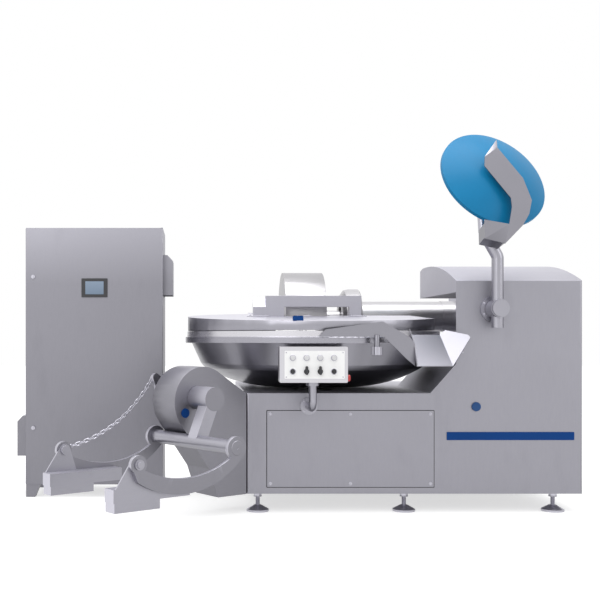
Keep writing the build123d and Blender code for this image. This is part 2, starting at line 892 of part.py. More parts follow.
with BuildPart() as knife_hood:
    with BuildSketch(side_plane(hood_x0)):
        add(hood_section(hood_radius, hood_hem))
        make_face()
    extrude(amount=hood_width)
    with BuildSketch(side_plane(hood_x0 + hood_sheet)):
        add(hood_section(hood_radius - hood_sheet, hood_hem - 1))
        make_face()
    extrude(amount=hood_width - 2 * hood_sheet, mode=Mode.SUBTRACT)
    # Slot of the right end plate over the knife shaft
    with BuildSketch(side_plane(hood_x1 - 2 * hood_sheet)):
        with Locations((knife_y, shaft_height)):
            Circle(knife_hub_radius)
        with Locations((knife_y, (shaft_height + hood_hem) / 2 - 1)):
            Rectangle(2 * knife_hub_radius, shaft_height - hood_hem + 2)
    extrude(amount=3 * hood_sheet, mode=Mode.SUBTRACT)
    # The rear wall ends higher than the end plates
    add(
        block(
            hood_x0 + hood_sheet, hood_x1 - hood_sheet,
            knife_y + hood_radius - 3 * hood_sheet, knife_y + hood_radius + 1,
            hood_hem - 1, hood_hem + hood_rear_rise,
        ),
        mode=Mode.SUBTRACT,
    )
    for lug_x in (hood_x0 + 40, hood_x1 - 40 - lug_width):
        add(hinge_lug(lug_x, knife_y + hood_radius + 2, hinge_height))
    add(rod(hinge_rod_radius + running_fit, hood_x0, hood_x1, hinge_y, hinge_height),
        mode=Mode.SUBTRACT)

knife_hood.part.label = "knife_hood"
export_step(knife_hood.part, "parts/knife_hood.step")

# ---- Noise lid ---------------------------------------------------------------------------

lid_front_y = bowl_y - lid_radius
lid_slope = sin(radians(lid_tilt)) / cos(radians(lid_tilt))


def lid_top(y):
    """Height of the lid's tilted top at depth y."""
    return lid_front_height + (y - lid_front_y) * lid_slope


def lid_block(radius, drop, hem):
    """Round block under the tilted top, lowered by a sheet."""
    rear_y = bowl_y + lid_radius + 20
    with BuildPart() as solid:
        with BuildSketch(Plane.XY.offset(hem)):
            with Locations((bowl_x, bowl_y)):
                Circle(radius)
            # The right edge is straight, clear of the housing
            with Locations((bowl_x + lid_cut - lid_radius + radius, bowl_y)):
                Rectangle(
                    2 * lid_radius, 2 * lid_radius, align=(Align.MIN, Align.CENTER),
                    mode=Mode.SUBTRACT,
                )
        extrude(amount=lid_top(rear_y) - hem + 5)
        with BuildSketch(side_plane(bowl_x - lid_radius - 10)):
            Polygon(
                (lid_front_y - 20, lid_top(lid_front_y - 20) - drop),
                (rear_y, lid_top(rear_y) - drop),
                (rear_y, lid_top(rear_y) + 50),
                (lid_front_y - 20, lid_top(rear_y) + 50),
                align=None,
            )
        extrude(amount=2 * lid_radius + 20, mode=Mode.SUBTRACT)
    return solid.part


lid_opening_front = knife_y - hood_radius - lid_gap - 7

with BuildPart() as noise_lid:
    add(lid_block(lid_radius, 0, lid_hem))
    add(lid_block(lid_radius - lid_sheet, lid_sheet, lid_hem - 1), mode=Mode.SUBTRACT)
    add(
        block(
            hood_x0 - lid_gap, bowl_x + lid_radius + 10, lid_opening_front, bowl_y + lid_radius + 10,
            lid_hem - 5, lid_top(bowl_y + lid_radius) + 10,
        ),
        mode=Mode.SUBTRACT,
    )
    # The front right quarter reaches further back, up to the spindle
    add(lid_block(lid_radius, 0, lid_hem) & block(
        hood_x1 + lid_gap, bowl_x + lid_radius + 10, lid_opening_front - 1, bowl_y + lid_slot_front,
        lid_hem - 5, lid_top(bowl_y + lid_radius) + 10,
    ))
    add(lid_block(lid_radius - lid_sheet, lid_sheet, lid_hem - 1), mode=Mode.SUBTRACT)
    for lug_x in (bowl_x + post_offsets[0] + post_width / 2 + 10, hood_x0 - lid_gap - lug_width - 5):
        lug_y = bowl_y + sqrt(lid_radius ** 2 - (lug_x - bowl_x) ** 2)
        add(hinge_lug(lug_x, lug_y - 2, lid_hem + 70))
    add(rod(hinge_rod_radius + running_fit, rod_left, rod_right, hinge_y, hinge_height),
        mode=Mode.SUBTRACT)

noise_lid.part.label = "noise_lid"
export_step(noise_lid.part, "parts/noise_lid.step")

frame_y = bowl_y + frame_front
frame_x0 = bowl_x + frame_left
frame_x1 = frame_x0 + frame_width


def above_lid(solid):
    """The part of a solid that stands on the lid's tilted top."""
    y0 = lid_front_y - 40
    y1 = bowl_y + lid_radius
    with BuildPart() as upper:
        with BuildSketch(side_plane(bowl_x - lid_radius)):
            Polygon((y0, lid_top(y0)), (y1, lid_top(y1)), (y1, 2000), (y0, 2000), align=None)
        extrude(amount=2 * lid_radius)
        add(solid, mode=Mode.INTERSECT)
    return upper.part


with BuildPart() as bridge:
    with BuildSketch(front_plane(frame_y)):
        Polygon(
            (frame_x0, lid_hem), (frame_x0, frame_top), (frame_x1, frame_top), (frame_x1, lid_hem),
            (frame_x1 - frame_leg_right, lid_hem),
            (frame_x1 - frame_leg_right, frame_top - frame_beam_height),
            (frame_x0 + frame_leg_left, frame_top - frame_beam_height),
            (frame_x0 + frame_leg_left, lid_hem),
            align=None,
        )
    extrude(amount=-frame_depth)
    with BuildSketch(side_plane(frame_x0)):
        Polygon(
            (frame_y, lid_hem), (frame_y, frame_top - frame_beam_height),
            (frame_y + frame_depth, frame_top - beam_slope), (frame_y + frame_depth, lid_hem),
            align=None,
        )
    extrude(amount=-cheek_width)

with BuildPart() as lid_frame:
    add(above_lid(bridge.part))

lid_frame.part.label = "lid_frame"
export_step(lid_frame.part, "parts/lid_frame.step")

grip_x = bowl_x - 183
grip_y = lid_front_y + 46
with BuildPart() as grip_block:
    with BuildSketch(front_plane(grip_y)):
        with Locations((grip_x, lid_top(grip_y) + grip_height / 2 - 4)):
            RectangleRounded(grip_width, grip_height + 8, 9)
    extrude(amount=26)

with BuildPart() as lid_grip:
    add(above_lid(grip_block.part))

lid_grip.part.label = "lid_grip"
export_step(lid_grip.part, "parts/lid_grip.step")

# ---- Ejector -----------------------------------------------------------------------------

ejector_x = base_left + ejector_offset_x
hub_rear = base_front - ejector_flange - 4
hub_front = hub_rear - ejector_hub_length
cap_rear = hub_front - 2


def cylinder_y(radius, y0, y1, x, z):
    """A round bar along Y from y0 forward to y1, outside any part."""
    with BuildPart() as bar:
        with BuildSketch(front_plane(y0)):
            with Locations((x, z)):
                Circle(radius)
        extrude(amount=y0 - y1)
    return bar.part


with BuildPart() as ejector_bearing:
    add(cylinder_y(ejector_flange_radius, base_front, base_front - ejector_flange,
                   ejector_x, ejector_height))
    add(cylinder_y(ejector_pin_radius, base_front, cap_rear, ejector_x, ejector_height))
    add(cylinder_y(ejector_cap_radius, cap_rear, cap_rear - 10, ejector_x, ejector_height))

ejector_bearing.part.label = "ejector_bearing"
export_step(ejector_bearing.part, "parts/ejector_bearing.step")

disc_cos = cos(radians(disc_turn))
disc_sin = sin(radians(disc_turn))
disc_x_dir = Vector(disc_cos, disc_sin, 0)
disc_normal = Vector(
    disc_sin * cos(radians(disc_lean)), -disc_cos * cos(radians(disc_lean)), sin(radians(disc_lean))
)
disc_centre = Vector(ejector_x + disc_offset_x, base_front + disc_offset_y, ejector_height + disc_above)


def disc_plane(height):
    """Sketch plane square to the disc's axis, at a height on it."""
    return Plane(origin=disc_centre + disc_normal * height, x_dir=disc_x_dir, z_dir=disc_normal)


disc_section = Plane(origin=disc_centre, x_dir=disc_x_dir, z_dir=disc_x_dir.cross(disc_normal))

with BuildPart() as ejector_disc:
    with BuildSketch(disc_section):
        with BuildLine():
            crown = Line((0, disc_rise), (0.12 * disc_radius, disc_rise))
            slope = ThreePointArc(
                crown @ 1,
                (0.62 * disc_radius, 0.56 * disc_rise),
                (disc_radius, 0),
            )
            Polyline(
                slope @ 1,
                (disc_radius, -disc_rim),
                (disc_radius - disc_skin, -disc_rim),
                (disc_radius - disc_skin, -disc_skin),
            )
            inner = ThreePointArc(
                (disc_radius - disc_skin, -disc_skin),
                (0.62 * disc_radius, 0.56 * disc_rise - 1.3 * disc_skin),
                (0.12 * disc_radius, disc_rise - disc_skin),
            )
            Polyline(inner @ 1, (0, disc_rise - disc_skin), crown @ 0)
        make_face()
    revolve(axis=Axis(disc_centre, disc_normal))
    with BuildSketch(disc_plane(-drive_gap - 30)):
        Circle(disc_shaft_radius)
    extrude(amount=drive_gap + 30 + disc_rise - disc_skin)

ejector_disc.part.label = "ejector_disc"
export_step(ejector_disc.part, "parts/ejector_disc.step")

with BuildPart() as ejector_drive:
    with BuildSketch(disc_plane(-drive_gap)):
        Circle(ejector_drive_radius)
    extrude(amount=-ejector_drive_length)
    with BuildSketch(disc_plane(-drive_gap)):
        Circle(disc_shaft_radius + running_fit)
    extrude(amount=-31, mode=Mode.SUBTRACT)

ejector_drive.part.label = "ejector_drive"
export_step(ejector_drive.part, "parts/ejector_drive.step")

arm_y = base_front - 90
arm_knee = (ejector_x, arm_y, ejector_height + 318)
arm_elbow = (ejector_x - 75, arm_y + 15, ejector_height + 458)
arm_end = (ejector_x - 40, arm_y + 180, ejector_height + 698)

with BuildPart() as ejector_arm:
    with BuildLine() as arm_path:
        FilletPolyline(
            (ejector_x, arm_y, ejector_height - ejector_stub), arm_knee, arm_elbow, arm_end,
            radius=60,
        )
    with BuildSketch(Plane(origin=arm_path.line @ 0, z_dir=arm_path.line % 0)):
        Circle(ejector_tube_radius)
    sweep()
    add(cylinder_y(ejector_hub_radius, hub_rear, hub_front, ejector_x, ejector_height))
    add(cylinder_y(ejector_pin_radius + running_fit, hub_rear + 1, hub_front - 1,
                   ejector_x, ejector_height), mode=Mode.SUBTRACT)
    with BuildSketch(disc_plane(-drive_gap - ejector_drive_length)):
        Circle(ejector_drive_radius)
    extrude(amount=ejector_drive_length + 300, mode=Mode.SUBTRACT)

ejector_arm.part.label = "ejector_arm"
export_step(ejector_arm.part, "parts/ejector_arm.step")

plate_origin = Vector(ejector_x, base_front - 215, ejector_height + 518)
plate_lean = radians(scraper_lean)
plate_plane = Plane(
    origin=plate_origin, x_dir=(1, 0, 0), z_dir=(0, -cos(plate_lean), sin(plate_lean))
)

with BuildPart() as ejector_scraper:
    with BuildSketch(plate_plane):
        Polygon(
            (-4, 532), (-84, 420), (-91, 358), (51, 147), (52, 88), (27, -20), (-119, 8),
            (-127, -113), (-7, -144), (107, -29), (152, 44), (176, 133), (136, 277), (-2, 480),
            align=None,
        )
    extrude(amount=scraper_sheet)
    # Bracket between the plate's foot and the arm
    with BuildSketch(plate_plane):
        Polygon((-115, -8), (24, -36), (30, -95), (-8, -126), (-120, -98), align=None)
    extrude(amount=-bracket_depth)
    with BuildSketch(Plane(origin=arm_path.line @ 0, z_dir=arm_path.line % 0)):
        Circle(ejector_tube_radius)
    sweep(path=arm_path.line, mode=Mode.SUBTRACT)

ejector_scraper.part.label = "ejector_scraper"
export_step(ejector_scraper.part, "parts/ejector_scraper.step")

# ---- Trolley loader ----------------------------------------------------------------------

loader_cos = cos(radians(loader_turn))
loader_sin = sin(radians(loader_turn))
loader_u = Vector(loader_cos, loader_sin, 0)
loader_out = Vector(loader_sin, -loader_cos, 0)
loader_origin = Vector(base_left + loader_offset_x, base_front + loader_offset_y, 0)
swing_point = (0, loader_axis_height)


def loader_plane(t):
    """Sketch plane of the loader, t in front of its housing: local x toward the bowl, local y up."""
    return Plane(origin=loader_origin + loader_out * t, x_dir=loader_u, z_dir=loader_out)


def loader_bar(radius, point, t0, t1):
    """A round bar along the loader's axis direction, outside any part."""
    with BuildPart() as bar:
        with BuildSketch(loader_plane(t0)):
            with Locations(point):
                Circle(radius)
        extrude(amount=t1 - t0)
    return bar.part


round_centre = (loader_round_u, loader_round_height)
waist_point = (loader_round_u + 45, 295)
shoulder_point = (loader_round_u + 331, deck_height - 1)
left_touch = tangent_point(round_centre, loader_round_radius, waist_point, -1)
right_touch = tangent_point(round_centre, loader_round_radius, shoulder_point, 1)
loader_reach = 640.0


def loader_outline(inset):
    """Front outline of the loader's housing, drawn in by a wall."""
    with BuildSketch(Plane.XY) as face:
        with BuildLine():
            Polyline(
                left_touch,
                waist_point,
                (waist_point[0] + 68, floor_gap),
                (loader_reach, floor_gap),
                (loader_reach, shoulder_point[1]),
                shoulder_point,
                right_touch,
            )
            ThreePointArc(
                right_touch,
                (round_centre[0] - loader_round_radius * cos(radians(43)),
                 round_centre[1] + loader_round_radius * sin(radians(43))),
                left_touch,
            )
        make_face()
        if inset:
            offset(amount=-inset, mode=Mode.REPLACE)
    return face.sketch


with BuildPart() as loader_housing:
    with BuildSketch(loader_plane(0)):
        add(loader_outline(0))
    extrude(amount=-loader_depth)
    with BuildSketch(loader_plane(-wall)):
        add(loader_outline(wall))
    extrude(amount=-(loader_depth - 2 * wall), mode=Mode.SUBTRACT)
    add(loader_bar(loader_shaft_radius + 18, swing_point, -loader_depth, 0))
    add(loader_bar(loader_shaft_radius + running_fit, swing_point, -loader_depth - 1, 1),
        mode=Mode.SUBTRACT)
    add(block(base_left, base_left + 800, base_front - 900, base_front + 1200, 0, 1200),
        mode=Mode.SUBTRACT)

loader_housing.part.label = "loader_housing"
export_step(loader_housing.part, "parts/loader_housing.step")

with BuildPart() as blue_accents:
    with BuildSketch(front_plane(base_front)):
        with Locations((base_left + stripe_left + stripe_width / 2, stripe_bottom + stripe_height / 2)):
            RectangleRounded(stripe_width, stripe_height, 4)
        with Locations((base_left + marker_offset, marker_height)):
            Circle(marker_radius)
    extrude(amount=stripe_thickness)
    add(loader_bar(marker_radius, (-88, marker_height - 18), 0, stripe_thickness))

blue_accents.part.label = "blue_accents"
export_step(blue_accents.part, "parts/blue_accents.step")

anchor_point = (-85, loader_axis_height + 114)
anchor_back = chain_t + 16
pin_inside = link_width / 2 - link_wire - 0.5

with BuildPart() as loader_shaft:
    add(loader_bar(loader_shaft_radius, swing_point, anchor_back, 86))
    add(loader_bar(loader_boss_radius, swing_point, 1, loader_boss_length))
    with BuildSketch(loader_plane(anchor_back)):
        with Locations(swing_point):
            Circle(loader_shaft_radius + 22)
        with Locations(anchor_point):
            Circle(24)
        make_hull()
    extrude(amount=24)
    add(loader_bar(pin_inside, anchor_point, chain_t - 20, anchor_back))

loader_shaft.part.label = "loader_shaft"
export_step(loader_shaft.part, "parts/loader_shaft.step")

pipe_point = (pipe_u, pipe_height)
lever_back = loader_boss_length - lever_thickness

with BuildPart() as loader_lever:
    with BuildSketch(loader_plane(lever_back)):
        with BuildLine():
            spine = Line(swing_point, pipe_point)
        across = Vector(spine % 0).rotate(Axis.Z, 90) * (lever_width / 2)
        Polygon(
            (spine @ 0) + across, (spine @ 0) - across, (spine @ 1) - across, (spine @ 1) + across,
            align=None,
        )
    extrude(amount=lever_thickness)
    add(loader_bar(loader_boss_radius, swing_point, lever_back - 1, loader_boss_length + 1),
        mode=Mode.SUBTRACT)
    add(loader_bar(pipe_radius, pipe_point, lever_back - 1, loader_boss_length + 1),
        mode=Mode.SUBTRACT)

loader_lever.part.label = "loader_lever"
export_step(loader_lever.part, "parts/loader_lever.step")

with BuildPart() as cross_pipe:
    add(loader_bar(pipe_radius, pipe_point, pipe_rear, pipe_front))
    add(loader_bar(pipe_radius - 6, pipe_point, pipe_rear, pipe_front), mode=Mode.SUBTRACT)

cross_pipe.part.label = "cross_pipe"
export_step(cross_pipe.part, "parts/cross_pipe.step")

tip_point = (pipe_u - tip_reach, tip_height)
outer_centre = (pipe_u - 350, 803)
inner_centre = (pipe_u - 340, 918)
heel_u = pipe_u + 50
toe_u = pipe_u - tip_reach - 6


def sickle(t0, t1):
    """Curved arm from the cross pipe to the carrier's bolt, between two depths."""
    with BuildPart() as arm:
        with BuildSketch(loader_plane(t0)):
            with BuildLine():
                lower = ThreePointArc(
                    (heel_u, circle_under(outer_centre, sickle_outer_radius, heel_u)),
                    (outer_centre[0], outer_centre[1] - sickle_outer_radius),
                    (toe_u, circle_under(outer_centre, sickle_outer_radius, toe_u)),
                )
                upper = ThreePointArc(
                    (pipe_u - 20, circle_under(inner_centre, sickle_inner_radius, pipe_u - 20)),
                    (inner_centre[0], inner_centre[1] - sickle_inner_radius),
                    (toe_u + 40, circle_under(inner_centre, sickle_inner_radius, toe_u + 40)),
                )
                Polyline(lower @ 1, (toe_u - 40, tip_height), upper @ 1)
                Polyline(upper @ 0, pipe_point, lower @ 0)
            make_face()
            with Locations(pipe_point):
                Circle(pipe_radius + 24)
            with Locations(tip_point):
                Circle(tip_radius)
            with Locations(pipe_point):
                Circle(pipe_radius, mode=Mode.SUBTRACT)
            with Locations(tip_point):
                Circle(tip_bolt_radius, mode=Mode.SUBTRACT)
        extrude(amount=t1 - t0)
    return arm.part


with BuildPart() as loader_sickles:
    add(sickle(pipe_front - sickle_plate, pipe_front))
    add(sickle(pipe_rear, pipe_rear + sickle_plate))

loader_sickles.part.label = "loader_sickles"
export_step(loader_sickles.part, "parts/loader_sickles.step")


def carrier(t0, t1, hanger_t):
    """Channel bracket that takes one side of the meat trolley, with its hanger plate."""
    with BuildPart() as bracket:
        with BuildSketch(loader_plane(hanger_t)):
            with Locations(tip_point):
                Circle(34)
            with Locations((tip_point[0] - 112, 300), (tip_point[0] + 60, 300)):
                Circle(20)
            make_hull()
            with Locations(tip_point):
                Circle(tip_bolt_radius, mode=Mode.SUBTRACT)
        extrude(amount=carrier_sheet)
        for left, right, low, high in (
            (tip_point[0] - 136, tip_point[0] + 334, 250, 320),
            (tip_point[0] - 131, tip_point[0] + 144, 200, 250),
        ):
            with BuildSketch(loader_plane(t0)):
                Polygon((left, low), (left, high), (right, high), (right, low), align=None)
            extrude(amount=t1 - t0)
            with BuildSketch(loader_plane(t0 + carrier_sheet)):
                Polygon(
                    (left + carrier_sheet, low + carrier_sheet),
                    (left + carrier_sheet, high - carrier_sheet),
                    (right + 1, high - carrier_sheet),
                    (right + 1, low + carrier_sheet),
                    align=None,
                )
            extrude(amount=t1 - t0 - 2 * carrier_sheet, mode=Mode.SUBTRACT)
    return bracket.part


front_inner = pipe_front - sickle_plate
rear_inner = pipe_rear + sickle_plate

with BuildPart() as loader_carriers:
    add(carrier(front_inner - carrier_depth, front_inner, front_inner - carrier_sheet))
    add(carrier(rear_inner, rear_inner + carrier_depth, rear_inner))
    # Bolts through the sickles, with the chain's pin on the rear one
    add(loader_bar(tip_bolt_radius, tip_point, front_inner - 22, pipe_front + 18))
    add(loader_bar(tip_bolt_radius + 10, tip_point, pipe_front, pipe_front + 10))
    add(loader_bar(tip_bolt_radius + 10, tip_point, front_inner - 22, front_inner - carrier_sheet))
    add(loader_bar(tip_bolt_radius, tip_point, pipe_rear - 18, rear_inner + 22))
    add(loader_bar(tip_bolt_radius + 10, tip_point, pipe_rear - 14, pipe_rear))
    add(loader_bar(tip_bolt_radius + 10, tip_point, rear_inner + carrier_sheet, rear_inner + 22))
    add(loader_bar(pin_inside, tip_point, chain_t - 20, pipe_rear))

loader_carriers.part.label = "loader_carriers"
export_step(loader_carriers.part, "parts/loader_carriers.step")

with BuildLine(loader_plane(chain_t)):
    chain_line = ThreePointArc(
        tip_point,
        (0.46 * tip_point[0] + 0.54 * anchor_point[0],
         0.46 * tip_point[1] + 0.54 * anchor_point[1] - chain_sag),
        anchor_point,
    )
chain_run = chain_line.length
link_seat = link_pitch / 2 - pin_inside - 0.5
half_links = int((chain_run - 2 * link_seat) / (link_pitch - link_play) / 2) + 1
link_step = (chain_run - 2 * link_seat) / (2 * half_links)

with BuildPart() as loader_chain:
    for count in range(2 * half_links + 1):
        place = (link_seat + count * link_step) / chain_run
        along = chain_line % place
        face_dir = loader_out if count % 2 == 0 else along.cross(loader_out)
        with BuildSketch(Plane(origin=chain_line @ place, x_dir=along, z_dir=face_dir)):
            SlotOverall(link_pitch + 2 * link_wire, link_width)
            SlotOverall(link_pitch, link_width - 2 * link_wire, mode=Mode.SUBTRACT)
        extrude(amount=link_wire / 2, both=True)

loader_chain.part.label = "loader_chain"
export_step(loader_chain.part, "parts/loader_chain.step")

# ---- Control box -------------------------------------------------------------------------

panel_x1 = panel_x0 + panel_width
panel_front = base_front - panel_gap - panel_depth
panel_top = panel_bottom + panel_height
button_places = [panel_x0 + column for column in button_columns]
top_row = panel_bottom + button_row_top
bottom_row = panel_bottom + button_row_bottom
stop_height = panel_bottom + 26
stop_y = panel_front + panel_depth / 2

with BuildPart() as control_box:
    with BuildSketch(front_plane(panel_front + panel_depth)):
        with Locations((panel_x0 + panel_width / 2, panel_bottom + panel_height / 2)):
            RectangleRounded(panel_width, panel_height, 8)
    extrude(amount=panel_depth)
    add(
        block(
            panel_x0 + panel_sheet, panel_x1 - panel_sheet,
            panel_front + panel_sheet, panel_front + panel_depth - panel_sheet,
            panel_bottom + panel_sheet, panel_top - panel_sheet,
        ),
        mode=Mode.SUBTRACT,
    )
    with BuildSketch(front_plane(panel_front + 1)):
        with Locations(*[(x, z) for x in button_places for z in (top_row, bottom_row)]):
            Circle(button_stem_radius + 0.5)
    extrude(amount=-(panel_sheet + 2), mode=Mode.SUBTRACT, both=True)
    with BuildSketch(side_plane(panel_x1)):
        with Locations((stop_y, stop_height)):
            Circle(button_stem_radius + 0.5)
    extrude(amount=panel_sheet + 2, mode=Mode.SUBTRACT, both=True)

control_box.part.label = "control_box"
export_step(control_box.part, "parts/control_box.step")

with BuildPart() as panel_plate:
    with BuildSketch(front_plane(panel_front)):
        with Locations((panel_x0 + 30 + 178, panel_bottom + panel_height / 2)):
            RectangleRounded(357, panel_height - 2 * panel_border, 5)
        with Locations(*[(x, z) for x in button_places for z in (top_row, bottom_row)]):
            Circle(button_stem_radius + 0.5, mode=Mode.SUBTRACT)
    extrude(amount=2)

panel_plate.part.label = "panel_plate"
export_step(panel_plate.part, "parts/panel_plate.step")

stand_y = base_front - 200

with BuildPart() as control_stand:
    with BuildLine() as stand_path:
        FilletPolyline(
            (stand_x, base_front, stand_height),
            (stand_x, stand_y, stand_height),
            (stand_x, stand_y, panel_bottom),
            radius=stand_bend,
        )
    with BuildSketch(front_plane(base_front)):
        with Locations((stand_x, stand_height)):
            Circle(stand_radius)
    sweep()
    add(cylinder_y(stand_flange_radius, base_front, base_front - stand_flange, stand_x, stand_height))
    with BuildSketch(Plane.XY.offset(panel_bottom)):
        with Locations((stand_x, stand_y)):
            Circle(stand_radius + 15)
    extrude(amount=-20)

control_stand.part.label = "control_stand"
export_step(control_stand.part, "parts/control_stand.step")

plate_front = panel_front - 2
face_gap = button_travel + 0.6


def push_button(x, z):
    """Round button on a stem through the panel."""
    with BuildPart() as button:
        add(cylinder_y(button_radius, plate_front - face_gap,
                       plate_front - face_gap - button_height, x, z))
        chamfer(button.faces().sort_by(Axis.Y)[0].edges(), 1.5)
        add(cylinder_y(button_stem_radius, panel_front + 20, plate_front - face_gap, x, z))
    return button.part


with BuildPart() as push_button_1:
    add(push_button(button_places[0], top_row))

push_button_1.part.label = "push_button_1"
export_step(push_button_1.part, "parts/push_button_1.step")

with BuildPart() as push_button_2:
    add(push_button(button_places[1], top_row))

push_button_2.part.label = "push_button_2"
export_step(push_button_2.part, "parts/push_button_2.step")

with BuildPart() as push_button_3:
    add(push_button(button_places[2], top_row))

push_button_3.part.label = "push_button_3"
export_step(push_button_3.part, "parts/push_button_3.step")

with BuildPart() as push_button_4:
    add(push_button(button_places[3], top_row))

push_button_4.part.label = "push_button_4"
export_step(push_button_4.part, "parts/push_button_4.step")


def selector(x, z):
    """Rotary selector: a round knob with a raised grip bar."""
    with BuildPart() as knob:
        add(cylinder_y(button_radius, plate_front - 0.6, plate_front - 6, x, z))
        add(block(x - 5, x + 5, plate_front - 18, plate_front - 6, z - 15, z + 15))
        add(cylinder_y(button_stem_radius, panel_front + 20, plate_front - 0.6, x, z))
    return knob.part


with BuildPart() as selector_left:
    add(selector(button_places[0], bottom_row))

selector_left.part.label = "selector_left"
export_step(selector_left.part, "parts/selector_left.step")

with BuildPart() as selector_right:
    add(selector(button_places[3], bottom_row))

selector_right.part.label = "selector_right"
export_step(selector_right.part, "parts/selector_right.step")


def lever_switch(x, z):
    """Tall rocker lever on a round base, turned like a selector."""
    with BuildPart() as lever:
        add(cylinder_y(button_radius + 2, plate_front - 0.6, plate_front - 7, x, z))
        with BuildSketch(front_plane(plate_front - 7)):
            with Locations((x, z + 6)):
                SlotOverall(lever_switch_height, 16, rotation=90)
        extrude(amount=14)
        add(cylinder_y(button_stem_radius, panel_front + 20, plate_front - 0.6, x, z))
    return lever.part


with BuildPart() as lever_switch_left:
    add(lever_switch(button_places[1], bottom_row))

lever_switch_left.part.label = "lever_switch_left"
export_step(lever_switch_left.part, "parts/lever_switch_left.step")

with BuildPart() as lever_switch_right:
    add(lever_switch(button_places[2], bottom_row))

lever_switch_right.part.label = "lever_switch_right"
export_step(lever_switch_right.part, "parts/lever_switch_right.step")

with BuildPart() as stop_button:
    add(rod(stop_radius, panel_x1 + stop_travel + 0.6, panel_x1 + stop_travel + 16, stop_y, stop_height))
    fillet(stop_button.faces().sort_by(Axis.X)[-1].edges(), 5)
    add(rod(button_stem_radius, panel_x1 - 20, panel_x1 + stop_travel + 0.6, stop_y, stop_height))

stop_button.part.label = "stop_button"
export_step(stop_button.part, "parts/stop_button.step")

# ---- Discharge chute ---------------------------------------------------------------------

chute_x = base_left + chute_offset_x
chute_pin = (base_left + chute_pin_offset_x, base_front - chute_pin_gap)
knob_place = (chute_x - 226, base_front - wing_gap - 3)


def chute_panel(corners):
    """Flat sheet panel through three or more corners, thickened to one side."""
    origin = Vector(*corners[0])
    across = (Vector(*corners[1]) - origin).normalized()
    normal = across.cross(Vector(*corners[-1]) - origin).normalized()
    plane = Plane(origin=origin, x_dir=across, z_dir=normal)
    with BuildPart() as panel:
        with BuildSketch(plane):
            Polygon(
                *[(plane.to_local_coords(Vector(*corner)).X, plane.to_local_coords(Vector(*corner)).Y)
                  for corner in corners],
                align=None,
            )
        extrude(amount=chute_sheet / 2, both=True)
    return panel.part


floor_back = base_front - 60
floor_front = base_front - 260
wing_y = base_front - wing_gap
floor_back_left = (chute_x, floor_back, 1100)
floor_back_right = (chute_x + 185, floor_back, 1100)
floor_front_left = (chute_x, floor_front, 914)
floor_front_right = (chute_x + 212, floor_front, 914)

with BuildPart() as discharge_chute:
    add(chute_panel([floor_front_left, floor_front_right, floor_back_right, floor_back_left]))
    add(
        chute_panel(
            [
                floor_front_right,
                (chute_x + 344, base_front - 160, 1083),
                (chute_x + 332, base_front - 150, 1109),
                (chute_x + 215, floor_back, 1139),
                floor_back_right,
            ]
        )
    )
    with BuildSketch(front_plane(wing_y)):
        Polygon(
            (chute_x - 575, 1089), (chute_x - 534, 1133), (chute_x - 190, 1181),
            (chute_x - 25, 1084), (chute_x + 2, 1045), (chute_x + 2, 914), (chute_x - 48, 956),
            (chute_x - 181, 1089),
            align=None,
        )
    extrude(amount=chute_sheet)
    # Left side wall of the floor, up to the wing
    with BuildSketch(side_plane(chute_x - chute_sheet / 2)):
        Polygon(
            (floor_front, 911), (floor_front, 930), (wing_y, 1045), (floor_back, 1135),
            (floor_back, 1097),
            align=None,
        )
    extrude(amount=chute_sheet)
    # Stud of the clamping knob
    with BuildSketch(Plane.XY.offset(stud_foot)):
        with Locations(knob_place):
            Circle(stud_radius)
    extrude(amount=1100 - stud_foot)
    # Hinge arm under the floor, with its eye
    with BuildSketch(Plane.XY.offset(1030)):
        with Locations((chute_x + 157, base_front - 118)):
            Rectangle(64, 10)
        with Locations(chute_pin):
            Circle(2 * chute_pin_radius)
        make_hull()
    extrude(amount=12)
    with BuildSketch(Plane.XY.offset(chute_eye_bottom)):
        with Locations(chute_pin):
            Circle(2 * chute_pin_radius)
    extrude(amount=chute_eye_height)
    with BuildSketch(Plane.XY.offset(chute_eye_bottom - 1)):
        with Locations(chute_pin):
            Circle(chute_pin_radius + running_fit)
    extrude(amount=chute_eye_height + 2, mode=Mode.SUBTRACT)

discharge_chute.part.label = "discharge_chute"
export_step(discharge_chute.part, "parts/discharge_chute.step")

with BuildPart() as chute_hinge:
    for ear_bottom in (chute_eye_bottom - 10, chute_eye_bottom + chute_eye_height + 2):
        add(
            block(
                chute_pin[0] - 12, chute_pin[0] + 20, chute_pin[1] - 20, base_front,
                ear_bottom, ear_bottom + 8,
            )
        )
    with BuildSketch(Plane.XY.offset(chute_eye_bottom - 15)):
        with Locations(chute_pin):
            Circle(chute_pin_radius)
    extrude(amount=chute_eye_height + 30)

chute_hinge.part.label = "chute_hinge"
export_step(chute_hinge.part, "parts/chute_hinge.step")

with BuildPart() as star_knob:
    with BuildSketch(Plane.XY.offset(knob_bottom)):
        with Locations(knob_place):
            Circle(0.8 * knob_radius)
            with PolarLocations(0.68 * knob_radius, 6):
                Circle(0.32 * knob_radius)
    extrude(amount=knob_height)
    fillet(star_knob.faces().sort_by(Axis.Z)[0].edges(), 3)
    with BuildSketch(Plane.XY.offset(stud_foot - touch_gap)):
        with Locations(knob_place):
            Circle(stud_radius + running_fit)
    extrude(amount=knob_height, mode=Mode.SUBTRACT)

star_knob.part.label = "star_knob"
export_step(star_knob.part, "parts/star_knob.step")

# ---- Electrical cabinet ------------------------------------------------------------------

cabinet_x0 = base_left + cabinet_left
cabinet_x1 = cabinet_x0 + cabinet_width
door_front = base_front + cabinet_offset_y
shell_front = door_front + door_thickness + door_gap
cabinet_rear = door_front + cabinet_depth
door_pin = (cabinet_x1 - door_pin_inset, door_front + door_pin_inset)


